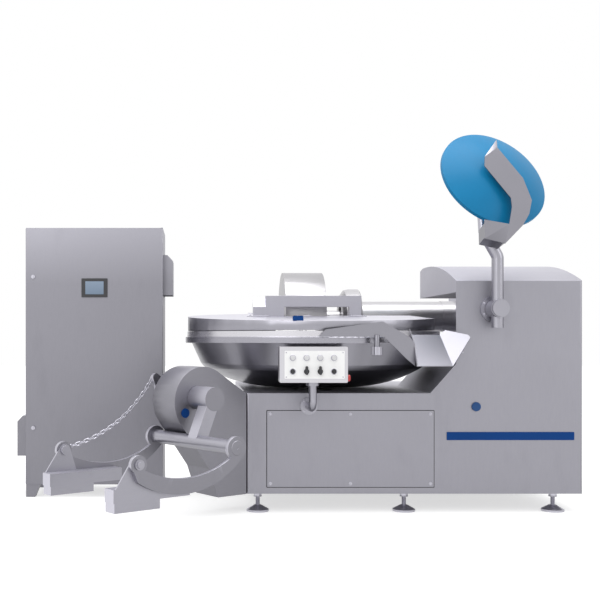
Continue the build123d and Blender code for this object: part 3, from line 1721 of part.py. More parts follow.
def vent_hood(x, out, z0, z1, mode_inset):
    """Outline of a louvre hood on a side wall: sloped top, open below."""
    with BuildLine() as outline:
        Polyline(
            (x, z0), (x, z1), (x + out * 30, z1), (x + out * (67 - mode_inset), z1 - 40),
            (x + out * (67 - mode_inset), z0), (x, z0),
        )
    return outline.line


with BuildPart() as cabinet_body:
    add(block(cabinet_x0, cabinet_x1, shell_front, cabinet_rear, cabinet_bottom, cabinet_top))
    for side_x, out, low in ((cabinet_x1, 1, 1375), (cabinet_x0, -1, 275)):
        with BuildSketch(front_plane(door_front + 60)):
            add(vent_hood(side_x, out, low, low + 275, 0))
            make_face()
        extrude(amount=-240)
        with BuildSketch(front_plane(door_front + 63)):
            add(vent_hood(side_x - 10 * out, out, low - 1, low + 272, -7))
            make_face()
        extrude(amount=-234, mode=Mode.SUBTRACT)
    add(
        block(
            cabinet_x0 + cabinet_sheet, cabinet_x1 - cabinet_sheet,
            shell_front - 1, cabinet_rear - cabinet_sheet,
            cabinet_bottom + cabinet_sheet, cabinet_top - cabinet_sheet,
        ),
        mode=Mode.SUBTRACT,
    )
    # Feet
    for leg_y in (shell_front, cabinet_rear - 70):
        with BuildSketch(front_plane(leg_y)):
            Polygon(
                (cabinet_x0, cabinet_bottom), (cabinet_x0 + 95, cabinet_bottom),
                (cabinet_x0 + 61, 0), (cabinet_x0, 0),
                align=None,
            )
            Polygon(
                (cabinet_x1, cabinet_bottom), (cabinet_x1 - 95, cabinet_bottom),
                (cabinet_x1 - 61, 0), (cabinet_x1, 0),
                align=None,
            )
        extrude(amount=-70)
    # Brackets with the door's pivot pins
    for bracket_z, pin_z in ((cabinet_bottom, cabinet_bottom + 5), (cabinet_top - 5, cabinet_top - 25)):
        add(block(cabinet_x1 - 14, cabinet_x1, door_front, shell_front, bracket_z, bracket_z + 5))
        with BuildSketch(Plane.XY.offset(pin_z)):
            with Locations(door_pin):
                Circle(door_pin_radius)
        extrude(amount=20)

cabinet_body.part.label = "cabinet_body"
export_step(cabinet_body.part, "parts/cabinet_body.step")

with BuildPart() as cabinet_door:
    add(
        block(
            cabinet_x0, cabinet_x1, door_front, door_front + door_thickness,
            cabinet_bottom + 6, cabinet_top - 6,
        )
    )
    fillet(cabinet_door.edges().filter_by(Axis.Z).group_by(Axis.Y)[0], 4)
    add(
        block(
            cabinet_x0 + 24, cabinet_x1 - 24, door_front + 3, door_front + door_thickness + 1,
            cabinet_bottom + 30, cabinet_top - 30,
        ),
        mode=Mode.SUBTRACT,
    )
    for pin_z in (cabinet_bottom, cabinet_top - 26):
        with BuildSketch(Plane.XY.offset(pin_z)):
            with Locations(door_pin):
                Circle(door_pin_radius + running_fit)
        extrude(amount=26, mode=Mode.SUBTRACT)
    for lock_z in lock_heights:
        add(cylinder_y(lock_radius - 4 + running_fit, door_front + 20, door_front - 1,
                       cabinet_x0 + lock_inset, lock_z), mode=Mode.SUBTRACT)

cabinet_door.part.label = "cabinet_door"
export_step(cabinet_door.part, "parts/cabinet_door.step")


def door_lock(z):
    """Quarter-turn lock: round head, spindle and a cam behind the door."""
    lock_x = cabinet_x0 + lock_inset
    with BuildPart() as lock:
        add(cylinder_y(lock_radius, door_front - touch_gap, door_front - 9, lock_x, z))
        add(block(lock_x - 3, lock_x + 3, door_front - 13, door_front - 8, z - 10, z + 10))
        add(cylinder_y(lock_radius - 4, door_front + 26, door_front - touch_gap, lock_x, z))
        add(block(lock_x - 42, lock_x + 8, door_front + 20, door_front + 25, z - 9, z + 9))
    return lock.part


with BuildPart() as door_lock_lower:
    add(door_lock(lock_heights[0]))

door_lock_lower.part.label = "door_lock_lower"
export_step(door_lock_lower.part, "parts/door_lock_lower.step")

with BuildPart() as door_lock_upper:
    add(door_lock(lock_heights[1]))

door_lock_upper.part.label = "door_lock_upper"
export_step(door_lock_upper.part, "parts/door_lock_upper.step")

with BuildPart() as touch_screen:
    with BuildSketch(front_plane(door_front)):
        with Locations((cabinet_x0 + screen_left + screen_width / 2, screen_bottom + screen_height / 2)):
            RectangleRounded(screen_width, screen_height, 4)
    extrude(amount=screen_depth)

touch_screen.part.label = "touch_screen"
export_step(touch_screen.part, "parts/touch_screen.step")

plate_y = cabinet_rear - 60

with BuildPart() as electrics_plate:
    add(block(cabinet_x0 + 60, cabinet_x1 - 60, plate_y, plate_y + 3, 250, 1650))
    for post_x in (cabinet_x0 + 90, cabinet_x1 - 90):
        for post_z in (290, 1610):
            add(cylinder_y(10, cabinet_rear - cabinet_sheet, plate_y + 2, post_x, post_z))
    # Drive converter, contactors and terminal row
    add(block(cabinet_x0 + 120, cabinet_x0 + 470, plate_y - 210, plate_y, 900, 1500))
    for count in range(4):
        left = cabinet_x0 + 540 + count * 75
        add(block(left, left + 60, plate_y - 110, plate_y, 1150, 1250))
    add(block(cabinet_x0 + 120, cabinet_x1 - 120, plate_y - 60, plate_y, 480, 540))

electrics_plate.part.label = "electrics_plate"
export_step(electrics_plate.part, "parts/electrics_plate.step")
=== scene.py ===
# %% [markdown]
# # A meat bowl cutter, dressed step by step
#
# The machine chops meat in a slowly turning bowl, under a lid, with sickle knives that spin on a
# shaft behind it. Its solids come from a CAD model and are loaded as a fixed frame: nothing here
# moves or reshapes them. What this notebook adds is what a solid can't carry: the look of ground
# and blasted steel, round-wire chain links, threads, screws, glass and light.

# %% Load the machine
import math

import bmesh
import bpy
from mathutils import Matrix, Vector
from mathutils.bvhtree import BVHTree


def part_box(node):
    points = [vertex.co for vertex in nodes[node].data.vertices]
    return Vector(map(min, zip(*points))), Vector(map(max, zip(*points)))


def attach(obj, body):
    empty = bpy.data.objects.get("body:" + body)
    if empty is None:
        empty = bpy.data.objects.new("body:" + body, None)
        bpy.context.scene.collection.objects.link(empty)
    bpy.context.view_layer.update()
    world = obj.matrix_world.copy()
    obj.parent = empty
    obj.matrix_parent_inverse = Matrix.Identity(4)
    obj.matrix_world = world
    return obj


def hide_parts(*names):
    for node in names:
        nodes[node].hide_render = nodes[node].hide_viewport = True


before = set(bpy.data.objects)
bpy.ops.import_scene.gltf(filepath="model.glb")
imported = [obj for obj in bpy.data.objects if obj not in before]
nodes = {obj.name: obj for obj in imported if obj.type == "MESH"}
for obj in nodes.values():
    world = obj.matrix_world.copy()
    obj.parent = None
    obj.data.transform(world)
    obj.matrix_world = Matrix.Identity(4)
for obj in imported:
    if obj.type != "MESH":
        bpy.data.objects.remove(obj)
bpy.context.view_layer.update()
scene = bpy.context.scene

# %% [markdown]
# ## Camera
#
# A long machine is seen best from a standing height with the camera level, so that every upright
# edge stays upright. The lens could be turned towards the middle, but then the cabinet and the
# housing would lean. A view camera slides its film instead, and Blender's shift does the same.

# %% Set the camera
eye = Vector((-0.587, -6.150, 1.083))
film_width = 36  # mm
focal_length = 57  # mm
film_slide = (0.173, 0.063)  # shares of the film's width
camera = bpy.data.objects.new("camera", bpy.data.cameras.new("camera"))
scene.collection.objects.link(camera)
camera.location = eye
camera.rotation_euler = (math.pi / 2, 0, 0)
camera.data.sensor_width = film_width
camera.data.lens = focal_length
camera.data.shift_x, camera.data.shift_y = film_slide
camera.data.clip_end = 60
scene.camera = camera
scene.view_settings.view_transform = "Standard"
print("camera at", tuple(round(value, 3) for value in eye), "lens", focal_length, "mm")

# %% [markdown]
# ## Shader maths as plain Python
#
# A material is a net of small nodes. Wiring each one by hand hides the idea, so two small classes
# help. A `Wire` is a value that changes over a surface, and adding or multiplying wires lays the
# Math nodes for it. A `Finish` is one material, and its `node` method makes any other node.


# %% Wire: a value on a shader link
class Wire:
    """A value that changes over the surface, on its way from one node to the next."""

    def __init__(self, finish, socket):
        self.finish = finish
        self.socket = socket

    def maths(self, operation, first, second, clamp=False):
        settings = {"operation": operation, "use_clamp": clamp}
        return self.finish.node("ShaderNodeMath", settings, {0: first, 1: second})

    def __add__(self, other):
        return self.maths("ADD", self, other)

    def __radd__(self, other):
        return self.maths("ADD", other, self)

    def __sub__(self, other):
        return self.maths("SUBTRACT", self, other)

    def __rsub__(self, other):
        return self.maths("SUBTRACT", other, self)

    def __mul__(self, other):
        return self.maths("MULTIPLY", self, other)

    def __rmul__(self, other):
        return self.maths("MULTIPLY", other, self)

    def __pow__(self, other):
        return self.maths("POWER", self, other)

    def above(self, edge, softness):
        """0 below the edge and 1 above it, with a soft step between."""
        return self.maths("MULTIPLY", self - edge, 1 / softness, clamp=True)


# %% Net: the nodes of one shader tree
class Net:
    """A shader tree whose nodes are made by kind, settings and inputs."""

    def __init__(self, tree):
        self.tree = tree

    def node(self, kind, settings, inputs, output=0):
        made = self.tree.nodes.new(kind)
        for key, value in settings.items():
            setattr(made, key, value)
        for key, value in inputs.items():
            self.feed(made.inputs[key], value)
        return Wire(self, made.outputs[output])

    def feed(self, socket, value):
        if isinstance(value, Wire):
            self.tree.links.new(value.socket, socket)
        else:
            socket.default_value = value


# %% Finish: one material
class Finish(Net):
    """A material, with the few patterns that metal and plastic need."""

    def __init__(self, name):
        self.material = bpy.data.materials.new(name)
        self.material.use_nodes = True
        super().__init__(self.material.node_tree)
        self.shader = self.tree.nodes["Principled BSDF"]
        self.place = self.node("ShaderNodeTexCoord", {}, {}, "Object")

    def noise(self, scale, stretch=(1, 1, 1), detail=3.0, where=None):
        """Cloudy values from 0 to 1; a stretch above 1 squeezes the clouds that way."""
        spot = self.node(
            "ShaderNodeMapping", {"vector_type": "POINT"},
            {"Vector": where or self.place, "Scale": stretch},
        )
        return self.node(
            "ShaderNodeTexNoise", {}, {"Vector": spot, "Scale": scale, "Detail": detail}, "Fac"
        )

    def mix(self, factor, first, second):
        settings = {"data_type": "RGBA"}
        return self.node("ShaderNodeMix", settings, {0: factor, 6: first, 7: second}, 2)

    def facing(self, direction):
        """1 where the surface faces a direction square on, 0 where it faces away."""
        normal = self.node("ShaderNodeNewGeometry", {}, {}, "Normal")
        dot = self.node(
            "ShaderNodeVectorMath", {"operation": "DOT_PRODUCT"},
            {0: normal, 1: Vector(direction).normalized()}, "Value",
        )
        return dot.above(0.0, 1.0)

    def light_and_shade_by_facing(self, base, colour, high, low):
        """Painted light and shade by facing: tops are painted bright, undersides and right sides
        darker.
        """
        # painted light and shade: tops are painted lighter, undersides painted darker
        base = self.mix(self.facing((0, 0, 1)), base, shade(colour, high))
        base = self.mix(self.facing((0, 0, -1)), base, shade(colour, low))
        # painted shade: faces turned right, away from the main lamp, are painted darker
        right_side_shade = self.facing((1, 0, 0)) * 0.5
        return self.mix(right_side_shade, base, shade(colour, low))

    def relief(self, height, depth, strength):
        """Bump from a height that runs from 0 to 1 over a depth in metres."""
        inputs = {"Height": height, "Distance": depth, "Strength": strength}
        return self.node("ShaderNodeBump", {}, inputs)

    def surface(self, **sockets):
        for name, value in sockets.items():
            self.feed(self.shader.inputs[name.replace("_", " ")], value)
        return self.material


def shade(colour, factor):
    """A colour made lighter or darker, with its alpha."""
    return tuple(min(1.0, channel * factor) for channel in colour[:3]) + (1.0,)


# %% [markdown]
# ## Stainless steel
#
# All of the sheet is stainless, but it isn't one finish. The base and the cabinet are blasted
# with fine beads: even, mid grey, with faint cleaning marks. The lid and the hood are ground in
# long strokes. A stroke is noise squeezed in one direction, and it feeds roughness and a bump of a
# few hundredths of a millimetre, so that highlights smear across it as they do on real sheet.
#
# A sheet also has light and shade painted into its colour by its place and the way it faces. The
# foot of a tall panel is painted a little darker, the cabinet's top is painted lighter for the
# ceiling light it catches, and the chute's end flap is painted paler where it faces up.


# %% Sheet steel finishes
top_from, top_depth = 1.45, 0.50
flap_lean, flap_from, flap_depth = 0.145, 1.0650, 0.005


def sheet_steel(
    name, colour, roughness, strokes, depth=0.00004,
    high=1.5, low=0.62, floor=0.86, left=0.0, flap=0.0, top=0.0,
):
    """Stainless sheet, ground in strokes that lie tightly or loosely along x, y and z.

    high, low and flap are how bright the painted light on tops, the painted shade on undersides
    and the painted light on the chute's flap are against the colour. floor is the brightness left
    by the painted shade at the foot, and left and top are how far painted light lightens left
    sides and a tall panel's top.
    """
    finish = Finish(name)
    grain = finish.noise(1.0, strokes, 2.0)
    long_grain = finish.noise(0.35, strokes, 1.0)
    clouds = finish.noise(1.6, detail=4.0)
    smears = finish.noise(7.0, (1, 1, 0.35), 5.0)
    wiped = smears.above(0.56, 0.16)
    tone = clouds * 0.7 + long_grain * 0.3
    base = finish.mix(tone, shade(colour, 0.92), shade(colour, 1.08))
    base = finish.mix(wiped * 0.16, base, shade(colour, 0.86))
    # painted light and shade by facing: lighter tops, darker undersides and right sides
    base = finish.light_and_shade_by_facing(base, colour, high, low)
    height = finish.node("ShaderNodeSeparateXYZ", {}, {0: finish.place}, "Z")
    # painted shade: the colour darkens towards the foot, below one metre up
    base = finish.mix((1.0 - height).above(0.0, 1.0) * (1 - floor), base, (0, 0, 0, 1))
    # painted light: a tall panel is painted lighter towards its top
    if top:
        top_painted_light = height.above(top_from, top_depth)
        base = finish.mix(top_painted_light * top, base, shade(colour, 1.5))
    # painted light: faces turned left and up are painted lighter
    if left:
        base = finish.mix(finish.facing((-1, 0, 0.4)) * left, base, shade(colour, high))
    # painted light: the chute's flap, past its fold, is painted paler where it faces up
    if flap:
        along = finish.node("ShaderNodeSeparateXYZ", {}, {0: finish.place}, "X")
        past_fold = (height * flap_lean + along).above(flap_from, flap_depth)
        base = finish.mix(past_fold * finish.facing((0, 0, 1)), base, shade(colour, flap))
    rough = (grain - 0.5) * 0.10 + (clouds - 0.5) * 0.14 + wiped * 0.05 + roughness
    return finish.surface(
        Base_Color=base, Metallic=1.0, Roughness=rough, Normal=finish.relief(grain, depth, 0.8)
    )


def grey(value, tint=0.05):
    """Steel's colour: a grey that is a shade bluer than neutral."""
    return (value, value * 0.985, value * (1 + tint * 2), 1)


bead_marks = (260, 260, 40)
strokes_up = (420, 420, 18)
strokes_sideways = (30, 420, 420)
strokes_inward = (300, 30, 300)
drawn_up = (300, 300, 30)
milled = (60, 60, 240)
mill_depth = 0.00008

blasted = sheet_steel("blasted_steel", grey(0.335), 0.46, bead_marks, high=1.8, left=0.5)
cabinet_steel = sheet_steel(
    "cabinet_steel", grey(0.262), 0.46, bead_marks, high=2.6, low=0.90, floor=0.88, top=1.0
)
hood_steel = sheet_steel("hood_steel", grey(0.43, 0.01), 0.38, strokes_sideways, high=1.2, low=0.7)
lid_steel = sheet_steel("lid_steel", grey(0.34), 0.36, strokes_up, high=2.05)
frame_steel = sheet_steel("frame_steel", grey(0.42), 0.34, strokes_sideways, high=1.5)
box_steel = sheet_steel("box_steel", grey(0.62, 0.02), 0.34, strokes_up, high=1.3)
chute_steel = sheet_steel("chute_steel", grey(0.30), 0.36, strokes_inward, high=0.78, flap=1.15)
scraper_steel = sheet_steel("scraper_steel", grey(0.23), 0.34, strokes_up, high=2.2)
tube_steel = sheet_steel("tube_steel", grey(0.38), 0.33, drawn_up, high=1.8)
drum_steel = sheet_steel("drum_steel", grey(0.29), 0.44, milled, mill_depth, low=0.5)
loader_steel = sheet_steel(
    "loader_steel", grey(0.28), 0.44, milled, mill_depth, high=2.2, left=0.9
)
lever_steel = sheet_steel("lever_steel", grey(0.40), 0.44, milled, mill_depth, high=1.6, left=0.9)
print("sheet steels:", len(bpy.data.materials))

# %% [markdown]
# ## Turned and polished steel
#
# The bowl is ground while it turns, so its marks are rings about its axis. Its wide soft
# reflections run up and down, and they are painted into its colour as darker bands round the axis.
# Distance from the axis is a length of a vector with z left out, and noise of that distance alone
# gives rings. The knife shaft is turned about its own axis, along x.


# %% Turned steel finishes
def turned_steel(
    name, colour, roughness, centre, axis, pitch, depth, high=1.3, low=0.6, painted_reflections=0.0
):
    """Steel with fine rings about an axis, 0, 1 or 2 for x, y or z, and painted reflections in soft
    bands that cross them.
    """
    finish = Finish(name)
    offset = finish.node(
        "ShaderNodeVectorMath", {"operation": "SUBTRACT"}, {0: finish.place, 1: centre}
    )
    flat = [1.0, 1.0, 1.0]
    flat[axis] = 0.0
    across = finish.node("ShaderNodeVectorMath", {"operation": "MULTIPLY"}, {0: offset, 1: flat})
    reach = finish.node("ShaderNodeVectorMath", {"operation": "LENGTH"}, {0: across}, "Value")
    along = finish.node("ShaderNodeSeparateXYZ", {}, {0: finish.place}, axis)
    rings = finish.node(
        "ShaderNodeTexNoise", {"noise_dimensions": "2D"},
        {
            "Vector": finish.node("ShaderNodeCombineXYZ", {}, {0: reach, 1: along}),
            "Scale": pitch, "Detail": 2.0,
        },
        "Fac",
    )
    clouds = finish.noise(2.2, detail=4.0)
    spots = finish.noise(38.0, detail=3.0).above(0.60, 0.12)
    around = finish.node("ShaderNodeVectorMath", {"operation": "NORMALIZE"}, {0: across})
    bands = finish.noise(2.6, detail=1.0, where=around)
    fine_bands = finish.noise(11.0, detail=2.0, where=around)
    base = finish.mix(clouds * 0.6 + rings * 0.4, shade(colour, 0.90), shade(colour, 1.06))
    base = finish.mix(spots * 0.10, base, shade(colour, 0.7))
    # painted light and shade by facing: lighter tops, darker undersides and right sides
    base = finish.light_and_shade_by_facing(base, colour, high, low)
    # painted reflection: darker bands round the axis stand for the surroundings mirrored in the
    # polished steel
    painted_reflection_bands = bands.above(0.44, 0.16) * 0.75 + fine_bands.above(0.46, 0.20) * 0.25
    base = finish.mix(painted_reflection_bands * painted_reflections, base, shade(colour, 0.35))
    rough = (rings - 0.5) * 0.14 + (clouds - 0.5) * 0.12 + spots * 0.06 + roughness
    return finish.surface(
        Base_Color=base, Metallic=1.0, Roughness=rough, Normal=finish.relief(rings, depth, 0.7)
    )


bowl_centre = (0.214, 0.440, 0.0)
knife_centre = (0.0, 0.970, 1.242)
bowl_steel = turned_steel(
    "bowl_steel", grey(0.315), 0.33, bowl_centre, 2, 260, 0.00006, low=0.55, painted_reflections=0.30
)
# painted highlight: the rim's pale colour stands for the bright highlight along its rounded top
rim_highlight_steel = turned_steel("rim_highlight_steel", grey(0.66, 0.02), 0.28, bowl_centre, 2, 420, 0.00004)
ring_steel = turned_steel("ring_steel", grey(0.38), 0.28, bowl_centre, 2, 420, 0.00004, high=1.7)
fitting_steel = turned_steel("fitting_steel", grey(0.50), 0.30, bowl_centre, 2, 420, 0.00004)
spindle_steel = turned_steel(
    "spindle_steel", grey(0.51, 0.01), 0.36, knife_centre, 0, 300, 0.00005
)
blade_steel = turned_steel("blade_steel", grey(0.80, 0.01), 0.16, knife_centre, 0, 500, 0.00002)
shaft_steel = turned_steel("shaft_steel", grey(0.56, 0.01), 0.30, knife_centre, 0, 380, 0.00005)
print("turned steels:", bowl_steel.name, rim_highlight_steel.name, spindle_steel.name)

# %% [markdown]
# ## Blue plastic, paint, rubber and cast iron
#
# The ejector disc is thick blue plastic, turned smooth, with a soft shine and fine scratches from
# meat and brushes. The stripe on the base is a darker blue. A moulded or painted skin is never one
# flat colour, so each gets slow colour drift and a fine skin texture.


# %% Coloured finishes
def moulded(
    name, colour, roughness, coat=0.0, drift=0.10, skin=900.0, depth=0.00003, scuffs=0.0, gloss=0.5
):
    """Plastic, rubber or enamel: colour drift, fine skin and, where wanted, pale scuffs."""
    finish = Finish(name)
    clouds = finish.noise(5.0, detail=4.0)
    fine = finish.noise(skin, detail=2.0)
    base = finish.mix(clouds, shade(colour, 1 - drift), shade(colour, 1 + drift))
    scratch = finish.noise(60.0, (1, 1, 9), 4.0).above(0.62, 0.06)
    base = finish.mix(scratch * scuffs, base, shade(colour, 1.9))
    rough = (clouds - 0.5) * 0.12 + (fine - 0.5) * 0.08 + scratch * (scuffs * 0.6) + roughness
    finish.shader.inputs["Specular IOR Level"].default_value = gloss
    finish.shader.inputs["Coat Weight"].default_value = coat
    finish.shader.inputs["Coat Roughness"].default_value = 0.12
    return finish.surface(Base_Color=base, Roughness=rough, Normal=finish.relief(fine, depth, 0.6))


disc_blue = moulded(
    "disc_blue", (0.002, 0.165, 0.350), 0.38, scuffs=0.08, depth=0.00002, gloss=0.22
)
stripe_blue = moulded("stripe_blue", (0.002, 0.045, 0.200), 0.50, gloss=0.15)
marker_blue = moulded("marker_blue", (0.004, 0.055, 0.190), 0.30, gloss=0.4)
panel_white = moulded("panel_white", (0.92, 0.92, 0.92), 0.40)
button_grey = moulded("button_grey", (0.66, 0.66, 0.67), 0.30, coat=0.3)
switch_black = moulded("switch_black", (0.030, 0.030, 0.034), 0.42)
stop_red = moulded("stop_red", (0.55, 0.025, 0.020), 0.30, coat=0.3)
rubber_black = moulded(
    "rubber_black", (0.022, 0.022, 0.024), 0.72, skin=400.0, depth=0.00012
)
motor_grey = moulded("motor_grey", (0.20, 0.26, 0.32), 0.45, skin=300.0, depth=0.00008)
cast_iron = moulded("cast_iron", (0.10, 0.10, 0.105), 0.58, skin=260.0, depth=0.00015)
electric_grey = moulded("electric_grey", (0.24, 0.25, 0.27), 0.5)
print("coloured finishes:", len([m for m in bpy.data.materials if not m.name.endswith("steel")]))

# %% [markdown]
# ## Touch screen glass
#
# The screen on the cabinet is a dark-framed panel with a dim blue-grey picture behind glass. The
# picture is left as plain soft bands, with no words. A little emission makes it look switched on.

# %% Screen glass
screen = Finish("screen_glass")
picture_foot, picture_height = 1.376, 0.0917
screen_up = screen.node("ShaderNodeSeparateXYZ", {}, {0: screen.place}, "Z")
band = screen_up.above(picture_foot, picture_height)
screen_colour = screen.mix(band, (0.105, 0.150, 0.215, 1), (0.165, 0.215, 0.290, 1))
screen_colour = screen.mix(screen.noise(26.0) * 0.25, screen_colour, (0.12, 0.17, 0.22, 1))
screen.shader.inputs["Coat Weight"].default_value = 0.6
screen.shader.inputs["Emission Strength"].default_value = 0.35
screen_glass = screen.surface(
    Base_Color=screen_colour,
    Emission_Color=screen_colour,
    Roughness=screen.noise(90.0) * 0.1 + 0.08,
)


# %% [markdown]
# ## Give the CAD solids their finish
#
# Each solid keeps its shape and gets a material. Real sheet metal has bent or deburred edges that
# catch the light, so a Bevel modifier rounds the sharp ones by a millimetre or two. The solids
# come with split corners, so a Weld modifier joins those first.


# %% Dress and soften the solids
def dress(material, *names):
    for name in names:
        slots = nodes[name].data.materials
        slots.clear()
        slots.append(material)


def soften(width, *names):
    for name in names:
        weld = nodes[name].modifiers.new("weld corners", "WELD")
        weld.merge_threshold = 0.00001
        bevel = nodes[name].modifiers.new("worn edges", "BEVEL")
        bevel.width = width
        bevel.segments = 2
        bevel.limit_method = "ANGLE"
        bevel.angle_limit = math.radians(40)
        bevel.harden_normals = True


dress(blasted, "machine_body", "front_cover")
dress(cabinet_steel, "cabinet_body", "cabinet_door")
dress(drum_steel, "loader_housing")
dress(lid_steel, "noise_lid")
dress(hood_steel, "knife_hood")
dress(frame_steel, "lid_frame", "hinge_posts", "chute_hinge")
dress(box_steel, "control_box")
dress(chute_steel, "discharge_chute")
dress(scraper_steel, "ejector_scraper")
dress(tube_steel, "ejector_arm", "ejector_drive", "ejector_bearing", "control_stand", "cross_pipe")
dress(loader_steel, "loader_shaft", "loader_sickles")
dress(lever_steel, "loader_lever", "loader_carriers")
dress(bowl_steel, "bowl_shell")
dress(rim_highlight_steel, "bowl_trough")
dress(ring_steel, "bowl_ring")
dress(fitting_steel, "foot_pads", "door_lock_upper", "door_lock_lower", "star_knob")
dress(spindle_steel, "spindle_housing")
dress(shaft_steel, "knife_shaft", "knife_spacers", "spindle_bearings", "bowl_shaft", "bowl_bearing")
dress(blade_steel, "knife_blades")
dress(cast_iron, "shaft_pulley", "motor_pulley")
dress(motor_grey, "main_motor", "bowl_gearmotor")
dress(rubber_black, "drive_belt")
dress(electric_grey, "electrics_plate")
dress(disc_blue, "ejector_disc")
dress(stripe_blue, "blue_accents", "lid_grip")
dress(panel_white, "panel_plate")
dress(button_grey, "push_button_1", "push_button_2", "push_button_3", "push_button_4")
dress(switch_black, "selector_left", "selector_right", "lever_switch_left", "lever_switch_right")
dress(switch_black, "touch_screen")
dress(stop_red, "stop_button")
print("dressed", len(nodes), "solids")

# %% [markdown]
# ## A small mesh workshop
#
# Most of the small parts are turned or drawn: screws, threads, chain links. `Shape` gathers
# rings of points and skins them, either about an axis, as a lathe does, or along a path, as a tube
# is drawn. Each finished piece rides on the body that carries it and takes its material.


# %% Shape: rings, lathe and tube
class Shape:
    """Points and faces of one piece, in the machine's own frame."""

    def __init__(self):
        self.points = []
        self.faces = []

    def skin(self, rings, closed_path=False):
        """Faces between neighbouring rings that have the same number of points."""
        first = len(self.points)
        size = len(rings[0])
        self.points += [tuple(point) for ring in rings for point in ring]
        spans = len(rings) if closed_path else len(rings) - 1
        for row in range(spans):
            here = first + row * size
            there = first + (row + 1) % len(rings) * size
            for i in range(size):
                j = (i + 1) % size
                self.faces.append((here + i, here + j, there + j, there + i))
        if not closed_path:
            last = first + (len(rings) - 1) * size
            self.faces.append(tuple(range(first + size - 1, first - 1, -1)))
            self.faces.append(tuple(range(last, last + size)))

    def lathe(self, centre, axis, profile, steps=32, sides=0):
        """Turns a profile of (radius, height) about an axis; sides above 0 marks hexagon rows."""
        along = Vector(axis).normalized()
        across = along.orthogonal().normalized()
        up = along.cross(across)
        rings = []
        for row in profile:
            radius, height = row[0], row[1]
            ring = []
            for step in range(steps):
                angle = 2 * math.pi * step / steps
                reach = radius
                if len(row) > 2:
                    part = 2 * math.pi / sides
                    reach = radius / math.cos(angle % part - part / 2)
                spot = across * math.cos(angle) + up * math.sin(angle)
                ring.append(Vector(centre) + along * height + spot * reach)
            rings.append(ring)
        self.skin(rings)

    def tube(self, path, radius, sides=12, closed=False):
        """Draws a round wire along a path of points."""
        path = [Vector(point) for point in path]
        count = len(path)
        rings = []
        across = None
        for i, point in enumerate(path):
            before = path[i - 1] if closed or i > 0 else point
            after = path[(i + 1) % count] if closed or i < count - 1 else point
            along = (after - before).normalized()
            across = along.orthogonal() if across is None else across - along * across.dot(along)
            across.normalize()
            up = along.cross(across)
            rings.append([
                point + (across * math.cos(2 * math.pi * k / sides)
                         + up * math.sin(2 * math.pi * k / sides)) * radius
                for k in range(sides)
            ])
        self.skin(rings, closed_path=closed)

    def slab(self, low, high, edge=0.001):
        """A plate between two corners with its edges broken."""
        middle = (Vector(low) + Vector(high)) / 2
        half = (Vector(high) - Vector(low)) / 2
        rings = []
        for dz, inset in ((-1, edge), (-1, 0), (1, 0), (1, edge)):
            lift = half.z if abs(inset) > 0 else half.z - edge
            x, y = half.x - inset, half.y - inset
            ring = []
            for sx, sy in ((1, 1), (-1, 1), (-1, -1), (1, -1)):
                first, second = (x, y - edge), (x - edge, y)
                order = (first, second) if sx * sy > 0 else (second, first)
                ring += [middle + Vector((px * sx, py * sy, dz * lift)) for px, py in order]
            rings.append(ring)
        self.skin(rings)

    def piece(self, name, material, body, replaces=()):
        mesh = bpy.data.meshes.new(name)
        mesh.from_pydata(self.points, [], self.faces)
        work = bmesh.new()
        work.from_mesh(mesh)
        bmesh.ops.recalc_face_normals(work, faces=work.faces)
        work.to_mesh(mesh)
        work.free()
        mesh.polygons.foreach_set("use_smooth", [True] * len(mesh.polygons))
        mesh.set_sharp_from_angle(angle=math.radians(38))
        mesh.materials.append(material)
        made = bpy.data.objects.new(name, mesh)
        scene.collection.objects.link(made)
        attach(made, body)
        if replaces:
            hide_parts(*replaces)


# %% [markdown]
# ## Screws, nuts and threads
#
# The cover is held by socket screws with rounded heads. A head is a lathe profile that ends in a
# hexagonal hole, and the hexagon is just a ring whose radius changes with the angle. The feet
# have long threaded stems with a lock nut: the thread is a lathe profile with many small teeth.


# %% Screws
def socket_screw(shape, place, axis, radius, height):
    shape.lathe(
        place, axis,
        [
            (radius, 0), (radius, 0.45 * height), (0.93 * radius, 0.78 * height),
            (0.76 * radius, height), (0.50 * radius, height, 1), (0.46 * radius, 0.92 * height, 1),
            (0.46 * radius, 0.30 * height, 1),
        ],
        steps=36, sides=6,
    )


towards_front = (0, -1, 0)
cover_face = -0.2630
head, head_height = 0.009, 0.0052
washer, washer_height = 0.0105, 0.0006
screws_low, screws_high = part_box("cover_screws")
cover_screws = Shape()
for x in (screws_low[0] + head, (screws_low[0] + screws_high[0]) / 2, screws_high[0] - head):
    for z in (screws_low[2] + head, screws_high[2] - head):
        socket_screw(cover_screws, (x, cover_face, z), towards_front, head, head_height)
        cover_screws.lathe(
            (x, cover_face + 0.0001, z), towards_front, [(washer, 0), (washer, washer_height)]
        )
cover_screws.piece(
    "cover_socket_screws", fitting_steel, "machine", ["cover_screws"]
)
print("cover screws:", len(cover_screws.faces), "faces")

# %% Threaded stems with lock nuts
foot_places = [(x, y) for x in (-0.202, 0.713, 1.645) for y in (-0.200, 1.330)]
core, crest = 0.0118, 0.0134
stem_foot, thread_foot, thread_top, stem_top = 0.036, 0.0398, 0.0925, 0.0945
thread_pitch, flank = 0.0025, 0.0008
nut_foot, nut_height = 0.0942, 0.0217
washer_foot = 0.0912
upwards = (0, 0, 1)

